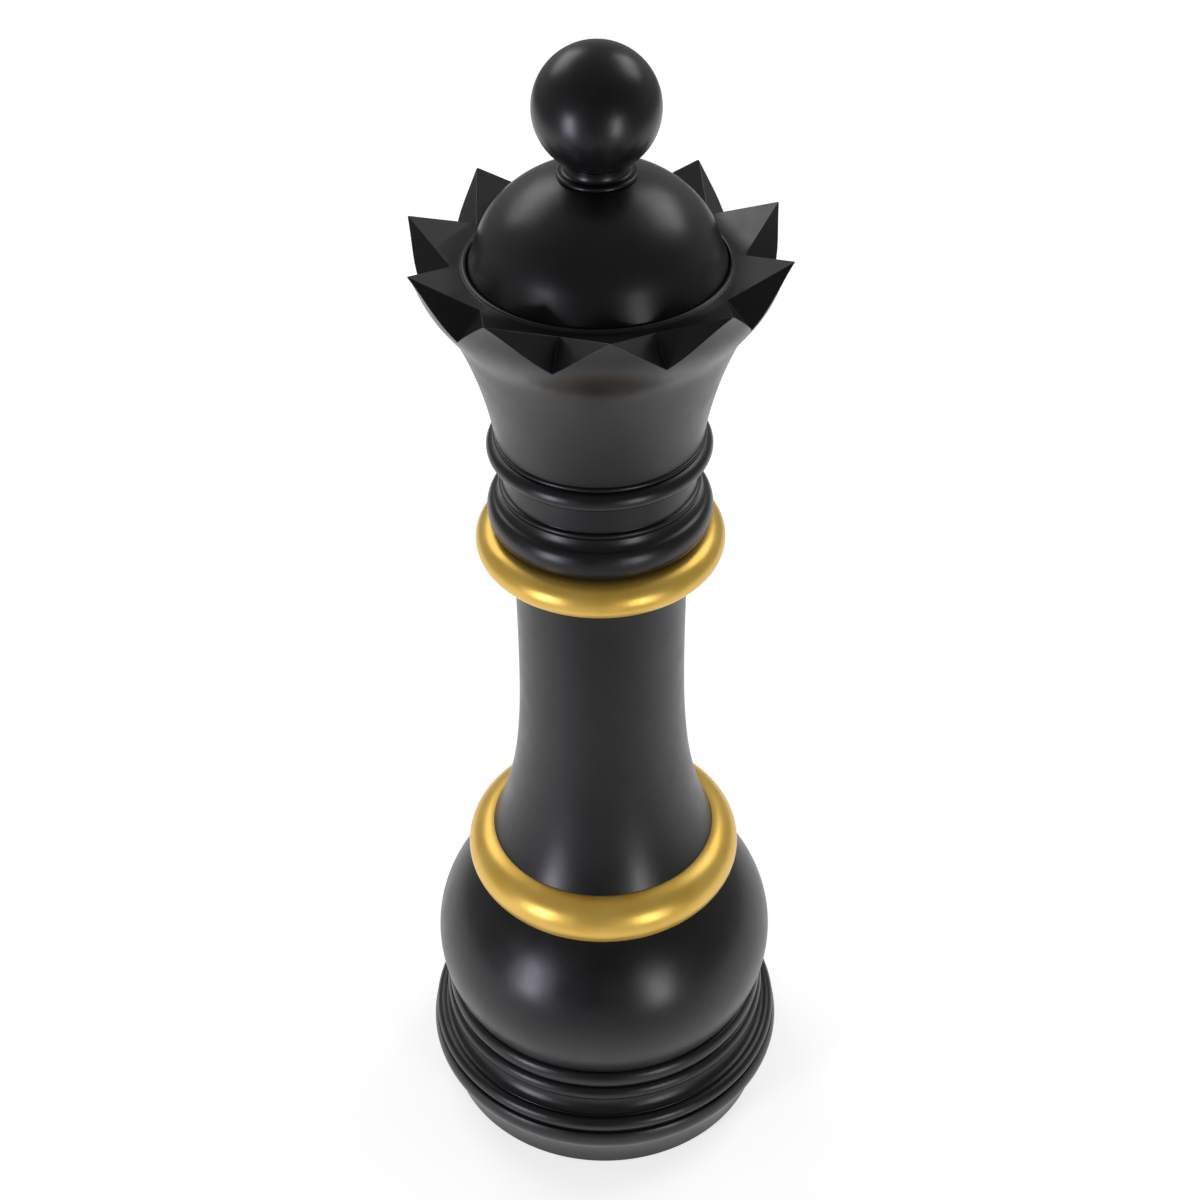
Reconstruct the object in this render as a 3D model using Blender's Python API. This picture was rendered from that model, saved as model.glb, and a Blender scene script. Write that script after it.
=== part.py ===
"""Giant chess queen: turned hardwood sections clamped on one tie rod, with a ball finial that screws down.

Metres, +Z up. The origin is on the axis, on the surface that the rubber pads stand on, and one crown
point faces -Y. Every section starts where the one below it ends, so a change of one height moves
everything above it.
"""

import math

import bmesh
import bpy
from mathutils import Vector

# ---------------------------------------------------------------- clearances
SEAT_GAP = 0.0003        # between two pieces that rest on each other
BORE_GAP = 0.0003        # round a piece that slips into a bore
ROD_GAP = 0.0006         # round the tie rod, in every section that it centres

# ---------------------------------------------------------------- facets
ROUND_STEPS = 40         # a large turned piece; four columns to each point of the crown
INNER_STEPS = 24         # a smaller turned piece
SMALL_STEPS = 12         # a screw

# ---------------------------------------------------------------- foot, ballast, cover and pads
FOOT_RADIUS = 0.1292
FOOT_LIFT = 0.0020       # the foot's rim stands this far above the ground, on the pads
FOOT_WALL_HEIGHT = 0.0269
FOOT_WALL = 0.0078
FOOT_COVE_HEIGHT = 0.0165
FOOT_COVE_STEP = 0.0009   # that the wall has leaned out by at this height, below its cove
BULLNOSE_RADIUS = 0.0139
BULLNOSE_OUT = 0.1424    # the widest part of the whole piece
BULLNOSE_START = -60     # degrees above the horizontal, where the wall's cove runs into the bullnose
BULLNOSE_END = 35
COVER_RECESS = 0.0023    # from the foot's rim up to the cover
COVER_THICKNESS = 0.0050
LEDGE_WIDTH = 0.0140     # that the cover is screwed to
BALLAST_THICKNESS = 0.0120
BALLAST_BORE = 0.0240
BALLAST_SIDE_GAP = 0.0010
NUT_POCKET_RADIUS = 0.0240
SCREW_COUNT = 4
SCREW_RADIUS = 0.0022
SCREW_HEAD_RADIUS = 0.0045
SCREW_HEAD_HEIGHT = 0.0024
SCREW_LENGTH = 0.0180
PAD_COUNT = 4
PAD_RADIUS = 0.0110
PAD_RING_RADIUS = 0.0980

# ---------------------------------------------------------------- base mouldings
PLINTH_HEIGHT = 0.0126   # of a rounded edge as high as the plinth
PLINTH_OUT = 0.1400
PLINTH_EDGE_START = -45  # degrees, where the rounded edge leaves its short upright
BASE_BEAD_HEIGHT = 0.0252    # of a scotia with a bead on top
SCOTIA_HEIGHT = 0.0125
SCOTIA_FOOT_RADIUS = 0.1325
BASE_BEAD_OUT = 0.1295
BASE_BEAD_EDGE_RADIUS = 0.1240
SEAT_RING_HEIGHT = 0.0152
SEAT_RING_OUT = 0.1275
SEAT_RING_EDGE_RADIUS = 0.1220

# ---------------------------------------------------------------- bulb and lower gold ring
BULB_HEIGHT = 0.1195
BULB_RADIUS = 0.1327
BULB_SEMI_HEIGHT = 0.1096
BULB_EQUATOR_RISE = 0.0423
LOWER_RING_HEIGHT = 0.0381
LOWER_RING_SECTION = 0.0204
LOWER_RING_CENTRE = 0.0843

# ---------------------------------------------------------------- column
COLUMN_HEIGHT = 0.2620
COLUMN_TOP_RADIUS = 0.0611
COLUMN_FOOT_RADIUS = 0.0850
COLUMN_WAIST_TAPER = 0.0028
COLUMN_FLARE_POWER = 4.4

# ---------------------------------------------------------------- neck
UPPER_RING_HEIGHT = 0.0260
UPPER_RING_CENTRE = 0.0742
CUSHION_HEIGHT = 0.0322
CUSHION_RADIUS = 0.0780
CUSHION_FOOT_RADIUS = 0.0698
CUSHION_SHOULDER_RADIUS = 0.0706
CUSHION_BULGE_RISE = 0.0112
CUSHION_SHOULDER_DROP = 0.0013
BAND_HEIGHT = 0.0245
BAND_RADIUS = 0.0671
NECK_BEAD_HEIGHT = 0.0148
NECK_BEAD_CENTRE = 0.0698

# ---------------------------------------------------------------- crown
POINT_COUNT = 10
CROWN_FOOT_RADIUS = 0.0705
CROWN_FOOT_SLOPE = 0.125
CROWN_TIP_RADIUS = 0.1265
CROWN_TIP_RISE = 0.1464
CROWN_NOTCH_RISE = 0.1142
CROWN_SWELL = 0.0047     # that the flare swells out by, where the notches are
CROWN_SWELL_START = 0.58 # as a share of the flare's height
CROWN_RIM_RISE = 0.1301
CROWN_INNER_NOTCH_RADIUS = 0.0941
RIM_OUTER_RADIUS = 0.0876
RIM_CREST_RADIUS = 0.0857
RIM_CREST_HEIGHT = 0.0010
RIM_BORE = 0.0840
LEDGE_DEPTH = 0.0155     # from the rim down to the floor that the dome stands on
CROWN_POCKET_DEPTH = 0.0170

# ---------------------------------------------------------------- dome and its seal
DOME_RISE = 0.0640
DOME_SKIRT_ANGLE = 16    # degrees up the dome's curve, below which its side runs straight down to the rim
DOME_SIDE_GAP = 0.0005
GASKET_THICKNESS = 0.0020
GASKET_BORE = 0.0600

# ---------------------------------------------------------------- finial
BALL_RADIUS = 0.0402
BALL_CLEARANCE = 0.0014      # between the ball and the dome's crown
COLLAR_LIP_RADIUS = 0.0259
COLLAR_LIP_HEIGHT = 0.0034
COLLAR_WAIST_RADIUS = 0.0199
COLLAR_RADIUS = 0.0207
COLLAR_BORE = 0.0115
INSERT_RADIUS = 0.0095
INSERT_LENGTH = 0.0240
INSERT_CAP = 0.0030
THREAD_PITCH = 0.00175
FINIAL_TURNS = 7

# ---------------------------------------------------------------- tie rod and nuts
ROD_RADIUS = 0.0060
ROD_TAIL = 0.0040        # thread below the base nut
WASHER_RADIUS = 0.0200
WASHER_THICKNESS = 0.0025
NUT_ACROSS_FLATS = 0.0180
NUT_HEIGHT = 0.0100
NUT_ACCESS = 0.0030      # from the rod's lower end to the cover

# ---------------------------------------------------------------- levels, from the ground up
ROD_HOLE = ROD_RADIUS + ROD_GAP
COVER_BOTTOM = FOOT_LIFT + COVER_RECESS
COVER_TOP = COVER_BOTTOM + COVER_THICKNESS
BALLAST_BOTTOM = COVER_TOP + SEAT_GAP
BALLAST_TOP = BALLAST_BOTTOM + BALLAST_THICKNESS
ROD_BOTTOM = COVER_TOP + NUT_ACCESS
BASE_NUT_BOTTOM = ROD_BOTTOM + ROD_TAIL
BASE_WASHER_BOTTOM = BASE_NUT_BOTTOM + NUT_HEIGHT + SEAT_GAP
WEB_BOTTOM = BASE_WASHER_BOTTOM + WASHER_THICKNESS + SEAT_GAP
BULLNOSE_CENTRE = FOOT_LIFT + FOOT_WALL_HEIGHT + BULLNOSE_RADIUS
FOOT_TOP = BULLNOSE_CENTRE + BULLNOSE_RADIUS * math.sin(math.radians(BULLNOSE_END))
PLINTH_BOTTOM = FOOT_TOP + SEAT_GAP
PLINTH_TOP = PLINTH_BOTTOM + PLINTH_HEIGHT
BASE_BEAD_BOTTOM = PLINTH_TOP + SEAT_GAP
BASE_BEAD_TOP = BASE_BEAD_BOTTOM + BASE_BEAD_HEIGHT
SEAT_RING_BOTTOM = BASE_BEAD_TOP + SEAT_GAP
SEAT_RING_TOP = SEAT_RING_BOTTOM + SEAT_RING_HEIGHT
BULB_BOTTOM = SEAT_RING_TOP + SEAT_GAP
BULB_TOP = BULB_BOTTOM + BULB_HEIGHT
LOWER_RING_BOTTOM = BULB_TOP + SEAT_GAP
LOWER_RING_TOP = LOWER_RING_BOTTOM + LOWER_RING_HEIGHT
COLUMN_BOTTOM = LOWER_RING_TOP + SEAT_GAP
COLUMN_TOP = COLUMN_BOTTOM + COLUMN_HEIGHT
UPPER_RING_BOTTOM = COLUMN_TOP + SEAT_GAP
UPPER_RING_TOP = UPPER_RING_BOTTOM + UPPER_RING_HEIGHT
CUSHION_BOTTOM = UPPER_RING_TOP + SEAT_GAP
CUSHION_TOP = CUSHION_BOTTOM + CUSHION_HEIGHT
BAND_BOTTOM = CUSHION_TOP + SEAT_GAP
BAND_TOP = BAND_BOTTOM + BAND_HEIGHT
NECK_BEAD_BOTTOM = BAND_TOP + SEAT_GAP
NECK_BEAD_TOP = NECK_BEAD_BOTTOM + NECK_BEAD_HEIGHT
CROWN_BOTTOM = NECK_BEAD_TOP + SEAT_GAP
RIM_TOP = CROWN_BOTTOM + CROWN_RIM_RISE
LEDGE_TOP = RIM_TOP - LEDGE_DEPTH
POCKET_FLOOR = LEDGE_TOP - CROWN_POCKET_DEPTH
GASKET_BOTTOM = LEDGE_TOP + SEAT_GAP
GASKET_TOP = GASKET_BOTTOM + GASKET_THICKNESS
DOME_BOTTOM = GASKET_TOP + SEAT_GAP
DOME_FOOT_RADIUS = RIM_BORE - DOME_SIDE_GAP
DOME_RADIUS = DOME_FOOT_RADIUS * math.cos(math.radians(DOME_SKIRT_ANGLE))
DOME_TOP = RIM_TOP + DOME_RISE
BALL_CENTRE = DOME_TOP + BALL_CLEARANCE + BALL_RADIUS
BALL_FOOT = BALL_CENTRE - math.sqrt(BALL_RADIUS**2 - (INSERT_RADIUS + BORE_GAP) ** 2)
ROD_TOP = BALL_FOOT + THREAD_PITCH * (FINIAL_TURNS + 1)


def remove_old_objects():
    """Empties the scene without closing the file."""
    for obj in list(bpy.data.objects):
        bpy.data.objects.remove(obj, do_unlink=True)


def material(name, colour, roughness, metallic=0.0):
    """A Principled material of one finish, made once."""
    found = bpy.data.materials.get(name)
    if found:
        return found
    made = bpy.data.materials.new(name)
    made.use_nodes = True
    shader = made.node_tree.nodes["Principled BSDF"]
    shader.inputs["Base Color"].default_value = (*colour, 1.0)
    shader.inputs["Roughness"].default_value = roughness
    shader.inputs["Metallic"].default_value = metallic
    return made


def black_lacquer():
    return material("black_lacquer", (0.012, 0.012, 0.013), 0.38)


def gold_lacquer():
    return material("gold_lacquer", (0.60, 0.40, 0.10), 0.28, 1.0)


def plywood():
    return material("plywood", (0.42, 0.29, 0.17), 0.65)


def zinc_steel():
    return material("zinc_steel", (0.56, 0.57, 0.58), 0.32, 1.0)


def cast_iron():
    return material("cast_iron", (0.10, 0.10, 0.11), 0.60, 1.0)


def brass():
    return material("brass", (0.70, 0.50, 0.20), 0.30, 1.0)


def black_rubber():
    return material("black_rubber", (0.02, 0.02, 0.02), 0.80)


def add_object(name, mesh, finish, parent=None, place=(0.0, 0.0, 0.0)):
    """Links a mesh as a named object, smooth where it is round."""
    mesh.materials.append(finish)
    mesh.shade_smooth()
    mesh.set_sharp_from_angle(angle=math.radians(35))
    obj = bpy.data.objects.new(name, mesh)
    bpy.context.scene.collection.objects.link(obj)
    obj.location = place
    if parent:
        obj.parent = parent
        obj.location = Vector(place) - parent.matrix_world.translation
    return obj


def arc(centre_r, centre_z, wide, tall, start, end, count):
    """Points on an elliptical arc of a profile, with its angles in degrees from +X towards +Z."""
    angles = [math.radians(start + (end - start) * i / count) for i in range(count + 1)]
    return [(centre_r + wide * math.cos(a), centre_z + tall * math.sin(a)) for a in angles]


def turned_mesh(name, profile, steps):
    """Spins a profile once round Z. A profile that starts and ends on the axis is left open there."""
    bm = bmesh.new()
    verts = [bm.verts.new((r, 0.0, z)) for r, z in profile]
    edges = [bm.edges.new(pair) for pair in zip(verts, verts[1:])]
    on_axis = profile[0][0] < 1e-9 and profile[-1][0] < 1e-9
    if not on_axis:
        edges.append(bm.edges.new((verts[-1], verts[0])))
    bmesh.ops.spin(bm, geom=verts + edges, cent=(0, 0, 0), axis=(0, 0, 1), angle=2 * math.pi,
                   steps=steps, use_merge=True)
    bmesh.ops.remove_doubles(bm, verts=bm.verts, dist=1e-6)
    bmesh.ops.recalc_face_normals(bm, faces=bm.faces)
    mesh = bpy.data.meshes.new(name)
    bm.to_mesh(mesh)
    bm.free()
    return mesh


def turned(name, profile, finish, steps=ROUND_STEPS, parent=None):
    """A turned piece. Under a parent too, its profile's heights are heights above the ground."""
    base = parent.matrix_world.translation.z if parent else 0.0
    local = [(r, z - base) for r, z in profile]
    return add_object(name, turned_mesh(name, local, steps), finish, parent, (0.0, 0.0, base))


def section(name, bottom, top, outer, finish, steps=ROUND_STEPS, bore=ROD_HOLE):
    """A turned section with a bore along its axis; its outer side is listed from bottom to top."""
    return turned(name, [(bore, top), (bore, bottom), *outer], finish, steps)


def cut(obj, cutter):
    """Subtracts a hidden cutter from an object."""
    cutter.hide_render = True
    cutter.display_type = "WIRE"
    modifier = obj.modifiers.new("cut_" + cutter.name, "BOOLEAN")
    modifier.operation = "DIFFERENCE"
    modifier.solver = "EXACT"
    modifier.object = cutter


def polar(radius, degrees):
    """A point on a circle round the axis, measured from +X."""
    angle = math.radians(degrees)
    return radius * math.cos(angle), radius * math.sin(angle)


# ---------------------------------------------------------------- foot and what it holds
def make_foot():
    """The foot: a wall under a bullnose, with recesses below for cover, ballast and nut."""
    recess_r = FOOT_RADIUS - FOOT_WALL
    ledge_r = recess_r - LEDGE_WIDTH
    shelf = COVER_TOP + SEAT_GAP
    ballast_roof = BALLAST_TOP + SEAT_GAP
    nose_r = BULLNOSE_OUT - BULLNOSE_RADIUS
    outer = [(recess_r, FOOT_LIFT), (FOOT_RADIUS, FOOT_LIFT)]
    outer += [(FOOT_RADIUS + FOOT_COVE_STEP, FOOT_LIFT + FOOT_COVE_HEIGHT)]
    outer += arc(nose_r, BULLNOSE_CENTRE, BULLNOSE_RADIUS, BULLNOSE_RADIUS, BULLNOSE_START, BULLNOSE_END, 4)
    inner = [(ROD_HOLE, FOOT_TOP), (ROD_HOLE, WEB_BOTTOM), (NUT_POCKET_RADIUS, WEB_BOTTOM)]
    inner += [(NUT_POCKET_RADIUS, ballast_roof), (ledge_r, ballast_roof), (ledge_r, shelf), (recess_r, shelf)]
    return turned("base_foot", outer + inner, black_lacquer())


def make_cover():
    """The round plate that closes the foot from below."""
    radius = FOOT_RADIUS - FOOT_WALL - BORE_GAP
    return turned("base_cover", [(0, COVER_BOTTOM), (radius, COVER_BOTTOM), (radius, COVER_TOP), (0, COVER_TOP)],
                  plywood())


def screw_profile(grow):
    """A countersunk screw, head down, or the hole that clears it by grow."""
    head = COVER_BOTTOM + SEAT_GAP
    cone_top = head + SCREW_HEAD_HEIGHT
    bottom = head - grow * 4
    return [(0, bottom), (SCREW_HEAD_RADIUS + grow, bottom), (SCREW_HEAD_RADIUS + grow, head + grow),
            (SCREW_RADIUS + grow, cone_top + grow), (SCREW_RADIUS + grow, head + SCREW_LENGTH + grow),
            (0, head + SCREW_LENGTH + grow)]


def make_cover_screws(foot, cover):
    """The cover's screws, and their holes through the cover and up into the foot's ledge."""
    ring_radius = FOOT_RADIUS - FOOT_WALL - LEDGE_WIDTH / 2
    shape = turned_mesh("cover_screw", screw_profile(0.0), SMALL_STEPS)
    hole = turned_mesh("cover_screw_hole", screw_profile(BORE_GAP), SMALL_STEPS)
    for i in range(SCREW_COUNT):
        x, y = polar(ring_radius, 360 * i / SCREW_COUNT)
        add_object(f"cover_screw_{i + 1}", shape.copy(), zinc_steel(), place=(x, y, 0))
        cutter = add_object(f"cover_screw_hole_{i + 1}", hole.copy(), zinc_steel(), place=(x, y, 0))
        cut(cover, cutter)
        cut(foot, cutter)


def make_pads():
    """Rubber pads under the cover, between its screws."""
    top = COVER_BOTTOM - SEAT_GAP
    shape = turned_mesh("foot_pad", [(0, 0), (PAD_RADIUS, 0), (PAD_RADIUS, top), (0, top)], INNER_STEPS)
    for i in range(PAD_COUNT):
        x, y = polar(PAD_RING_RADIUS, 360 * (i + 0.5) / PAD_COUNT)
        add_object(f"foot_pad_{i + 1}", shape.copy(), black_rubber(), place=(x, y, 0))


def make_ballast():
    """The iron ring in the foot's recess."""
    radius = FOOT_RADIUS - FOOT_WALL - LEDGE_WIDTH - BALLAST_SIDE_GAP
    section("ballast_ring", BALLAST_BOTTOM, BALLAST_TOP, [(radius, BALLAST_BOTTOM), (radius, BALLAST_TOP)],
            cast_iron(), bore=BALLAST_BORE)


# ---------------------------------------------------------------- base mouldings
def make_base_mouldings():
    """The plinth, the scotia with its bead, and the second bead that the bulb sits on."""
    edge = PLINTH_HEIGHT / 2
    rounded = arc(PLINTH_OUT - edge, PLINTH_BOTTOM + edge, edge, edge, PLINTH_EDGE_START, 90, 4)
    upright = (rounded[0][0], PLINTH_BOTTOM)
    section("base_plinth", PLINTH_BOTTOM, PLINTH_TOP, [upright, *rounded], black_lacquer())
    bead_bottom = BASE_BEAD_BOTTOM + SCOTIA_HEIGHT
    scotia = arc(SCOTIA_FOOT_RADIUS, bead_bottom, SCOTIA_FOOT_RADIUS - BASE_BEAD_EDGE_RADIUS, SCOTIA_HEIGHT,
                 270, 180, 4)
    half = (BASE_BEAD_TOP - bead_bottom) / 2
    proud = BASE_BEAD_OUT - BASE_BEAD_EDGE_RADIUS
    bead = arc(BASE_BEAD_EDGE_RADIUS, bead_bottom + half, proud, half, -90, 90, 6)
    section("base_bead", BASE_BEAD_BOTTOM, BASE_BEAD_TOP, [*scotia, *bead[1:]], black_lacquer())
    half = SEAT_RING_HEIGHT / 2
    proud = SEAT_RING_OUT - SEAT_RING_EDGE_RADIUS
    ring = arc(SEAT_RING_EDGE_RADIUS, SEAT_RING_BOTTOM + half, proud, half, -90, 90, 5)
    section("bulb_seat_ring", SEAT_RING_BOTTOM, SEAT_RING_TOP, ring, black_lacquer())


# ---------------------------------------------------------------- bulb, lower ring and column
def bulb_radius(z):
    """The bulb's radius at a height."""
    rise = (z - BULB_BOTTOM - BULB_EQUATOR_RISE) / BULB_SEMI_HEIGHT
    return BULB_RADIUS * math.sqrt(max(1 - rise * rise, 0.0))


def make_bulb():
    rows = 9
    levels = [BULB_BOTTOM + BULB_HEIGHT * i / rows for i in range(rows + 1)]
    section("bulb_body", BULB_BOTTOM, BULB_TOP, [(bulb_radius(z), z) for z in levels], black_lacquer())


def make_lower_ring():
    """The lower gold ring: a round bead that is cut flat where it rests on the bulb."""
    centre_z = LOWER_RING_TOP - LOWER_RING_SECTION
    start = -math.degrees(math.asin((centre_z - LOWER_RING_BOTTOM) / LOWER_RING_SECTION))
    section("lower_gold_ring", LOWER_RING_BOTTOM, LOWER_RING_TOP, arc(
        LOWER_RING_CENTRE, centre_z, LOWER_RING_SECTION, LOWER_RING_SECTION, start, 90, 7), gold_lacquer())


def column_radius(z):
    """The column's radius at a height: a slight taper to its waist, then a flare to its foot."""
    t = (COLUMN_TOP - z) / COLUMN_HEIGHT
    flare = COLUMN_FOOT_RADIUS - COLUMN_TOP_RADIUS + COLUMN_WAIST_TAPER
    return COLUMN_TOP_RADIUS - COLUMN_WAIST_TAPER * t + flare * t**COLUMN_FLARE_POWER


def make_column():
    levels = [COLUMN_BOTTOM + COLUMN_HEIGHT * step for step in (0, 0.07, 0.16, 0.27, 0.42, 0.65, 1.0)]
    section("column", COLUMN_BOTTOM, COLUMN_TOP, [(column_radius(z), z) for z in levels], black_lacquer())


# ---------------------------------------------------------------- neck
def make_neck():
    """The upper gold ring, the cushion, the plain band and the bead under the crown."""
    half = UPPER_RING_HEIGHT / 2
    section("upper_gold_ring", UPPER_RING_BOTTOM, UPPER_RING_TOP, arc(
        UPPER_RING_CENTRE, UPPER_RING_BOTTOM + half, half, half, -90, 90, 7), gold_lacquer())
    bulge_z = CUSHION_BOTTOM + CUSHION_BULGE_RISE
    shoulder_z = CUSHION_TOP - CUSHION_SHOULDER_DROP
    lower = arc(CUSHION_FOOT_RADIUS, bulge_z, CUSHION_RADIUS - CUSHION_FOOT_RADIUS, CUSHION_BULGE_RISE, -90, 0, 3)
    upper = arc(CUSHION_SHOULDER_RADIUS, bulge_z, CUSHION_RADIUS - CUSHION_SHOULDER_RADIUS,
                shoulder_z - bulge_z, 0, 90, 3)
    section("neck_cushion", CUSHION_BOTTOM, CUSHION_TOP, [*lower, *upper[1:], (BAND_RADIUS, CUSHION_TOP)],
            black_lacquer())
    section("neck_band", BAND_BOTTOM, BAND_TOP, [(BAND_RADIUS, BAND_BOTTOM), (BAND_RADIUS, BAND_TOP)],
            black_lacquer())
    half = NECK_BEAD_HEIGHT / 2
    section("neck_bead", NECK_BEAD_BOTTOM, NECK_BEAD_TOP, arc(
        NECK_BEAD_CENTRE, NECK_BEAD_BOTTOM + half, half, half, -90, 90, 5), black_lacquer())


# ---------------------------------------------------------------- crown
def crown_radius(rise):
    """The flared crown's outer radius at a height above its foot."""
    t = rise / CROWN_TIP_RISE
    straight = CROWN_FOOT_SLOPE * CROWN_TIP_RISE
    reach = max(t - CROWN_SWELL_START, 0.0) / (1 - CROWN_SWELL_START)
    swell = CROWN_SWELL * math.sin(math.pi * reach) ** 2
    return CROWN_FOOT_RADIUS + straight * t + (CROWN_TIP_RADIUS - CROWN_FOOT_RADIUS - straight) * t * t + swell


def crown_edge_rise(column):
    """How high the outer side reaches in one of a point's four columns: tip, flank, notch, flank."""
    fraction = (0.0, 0.5, 1.0, 0.5)[column % 4]
    return CROWN_TIP_RISE + (CROWN_NOTCH_RISE - CROWN_TIP_RISE) * fraction


def circle_verts(bm, radius, z, columns):
    """A ring of vertices, its first one on -Y."""
    ring = []
    for i in range(columns):
        x, y = polar(radius, -90 + 360 * i / columns)
        ring.append(bm.verts.new((x, y, z)))
    return ring


def bridge(bm, low, high):
    """Quads between two rings of vertices."""
    count = len(low)
    for i in range(count):
        bm.faces.new((low[i], low[(i + 1) % count], high[(i + 1) % count], high[i]))


def crown_flare(bm, columns, rows):
    """The outer side, from the foot up to the zigzag edge of the points."""
    rings = []
    for row in range(rows + 1):
        ring = []
        for i in range(columns):
            rise = crown_edge_rise(i) * row / rows
            x, y = polar(crown_radius(rise), -90 + 360 * i / columns)
            ring.append(bm.verts.new((x, y, CROWN_BOTTOM + rise)))
        rings.append(ring)
    for low, high in zip(rings, rings[1:]):
        bridge(bm, low, high)
    return rings[0], rings[-1]


def crown_points(bm, edge, rim):
    """Flat tops that rise from the rim to each tip, the notches between them, and the rim's own margin."""
    columns = len(edge)
    notches = []
    for k in range(POINT_COUNT):
        x, y = polar(CROWN_INNER_NOTCH_RADIUS, -90 + 360 * (k + 0.5) / POINT_COUNT)
        notches.append(bm.verts.new((x, y, RIM_TOP)))
    for k in range(POINT_COUNT):
        before, after = notches[k - 1], notches[k]
        bm.faces.new((before, edge[4 * k], after))
        for j in range(4 * k, 4 * k + 4):
            bm.faces.new((edge[j], edge[(j + 1) % columns], after))
        span = [rim[(4 * k + j) % columns] for j in range(-2, 3)]
        bm.faces.new((before, after, span[2]))
        bm.faces.new((before, span[2], span[1]))
        bm.faces.new((before, span[1], span[0]))
        bm.faces.new((after, span[4], span[3]))
        bm.faces.new((after, span[3], span[2]))


def make_crown():
    """The flared crown with its points, a well for the dome and a pocket for the nut."""
    columns = 4 * POINT_COUNT
    bm = bmesh.new()
    foot, edge = crown_flare(bm, columns, 6)
    last = circle_verts(bm, RIM_OUTER_RADIUS, RIM_TOP, columns)
    crown_points(bm, edge, last)
    inside = [(RIM_CREST_RADIUS, RIM_TOP + RIM_CREST_HEIGHT), (RIM_BORE, RIM_TOP), (RIM_BORE, LEDGE_TOP),
              (NUT_POCKET_RADIUS, LEDGE_TOP), (NUT_POCKET_RADIUS, POCKET_FLOOR), (ROD_HOLE, POCKET_FLOOR),
              (ROD_HOLE, CROWN_BOTTOM)]
    for radius, z in inside:
        ring = circle_verts(bm, radius, z, columns)
        bridge(bm, last, ring)
        last = ring
    bridge(bm, last, foot)
    bmesh.ops.recalc_face_normals(bm, faces=bm.faces)
    mesh = bpy.data.meshes.new("crown")
    bm.to_mesh(mesh)
    bm.free()
    add_object("crown", mesh, black_lacquer())


# ---------------------------------------------------------------- dome and its seal
def dome_height(radius):
    """The dome's height at a radius."""
    return RIM_TOP + DOME_RISE * math.sqrt(1 - (radius / DOME_RADIUS) ** 2)


def make_dome():
    """The dome, whose foot stands on a seal in the crown's well."""
    end = math.degrees(math.acos(ROD_HOLE / DOME_RADIUS))
    section("dome_cap", DOME_BOTTOM, RIM_TOP + DOME_RISE * math.sin(math.radians(end)), [
        (DOME_FOOT_RADIUS, DOME_BOTTOM), (DOME_FOOT_RADIUS, RIM_TOP),
        *arc(0, RIM_TOP, DOME_RADIUS, DOME_RISE, DOME_SKIRT_ANGLE, end, 7)[:-1]], black_lacquer())
    section("dome_gasket", GASKET_BOTTOM, GASKET_TOP, [
        (DOME_FOOT_RADIUS, GASKET_BOTTOM), (DOME_FOOT_RADIUS, GASKET_TOP)], black_rubber(), bore=GASKET_BORE)


# ---------------------------------------------------------------- finial
def pivot(name, z):
    """An empty on the axis, for the pieces that move with the finial."""
    empty = bpy.data.objects.new(name, None)
    empty.location = (0, 0, z)
    bpy.context.scene.collection.objects.link(empty)
    bpy.context.view_layer.update()
    return empty


def make_collar(parent):
    """The collar between dome and ball: a lip, a hollow neck and a dished seat for the ball."""
    seat_r = BALL_RADIUS + SEAT_GAP
    lip_z = dome_height(COLLAR_LIP_RADIUS) + SEAT_GAP
    top_z = BALL_CENTRE - math.sqrt(seat_r**2 - COLLAR_RADIUS**2)
    under_radii = [COLLAR_BORE + (COLLAR_LIP_RADIUS - COLLAR_BORE) * share for share in (0, 0.4, 0.75)]
    under = [(r, dome_height(r) + SEAT_GAP) for r in under_radii]
    side = [(COLLAR_LIP_RADIUS, lip_z), (COLLAR_LIP_RADIUS, lip_z + COLLAR_LIP_HEIGHT),
            (COLLAR_WAIST_RADIUS, lip_z + 1.4 * COLLAR_LIP_HEIGHT)]
    seat_radii = [COLLAR_RADIUS + (COLLAR_BORE - COLLAR_RADIUS) * share for share in (0, 0.35, 0.7, 1)]
    seat = [(r, BALL_CENTRE - math.sqrt(seat_r**2 - r**2)) for r in seat_radii]
    turned("finial_collar", under + side + seat, black_lacquer(), INNER_STEPS, parent)


def make_ball(parent):
    """The ball, with a round hole up into it for the insert."""
    hole_r = INSERT_RADIUS + BORE_GAP
    hole_top = BALL_FOOT + INSERT_LENGTH + SEAT_GAP
    start = -math.degrees(math.acos(hole_r / BALL_RADIUS))
    skin = arc(0, BALL_CENTRE, BALL_RADIUS, BALL_RADIUS, start, 90, 12)
    turned("finial_ball", [(0, hole_top), (hole_r, hole_top), *skin[:-1], (0, BALL_CENTRE + BALL_RADIUS)],
           black_lacquer(), INNER_STEPS, parent)


def make_insert(parent):
    """The threaded brass insert, closed at its upper end, that turns on the tie rod."""
    top = BALL_FOOT + INSERT_LENGTH
    thread_r = ROD_RADIUS + BORE_GAP
    turned("finial_insert", [(thread_r, BALL_FOOT), (INSERT_RADIUS, BALL_FOOT), (INSERT_RADIUS, top), (0, top),
                             (0, top - INSERT_CAP), (thread_r, top - INSERT_CAP)], brass(), INNER_STEPS, parent)


def make_finial():
    """The collar, which only rises, and the ball with its insert, which also turn."""
    make_collar(pivot("finial_rise_pivot", DOME_TOP))
    turning = pivot("finial_turn_pivot", BALL_CENTRE)
    make_ball(turning)
    make_insert(turning)


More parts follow.
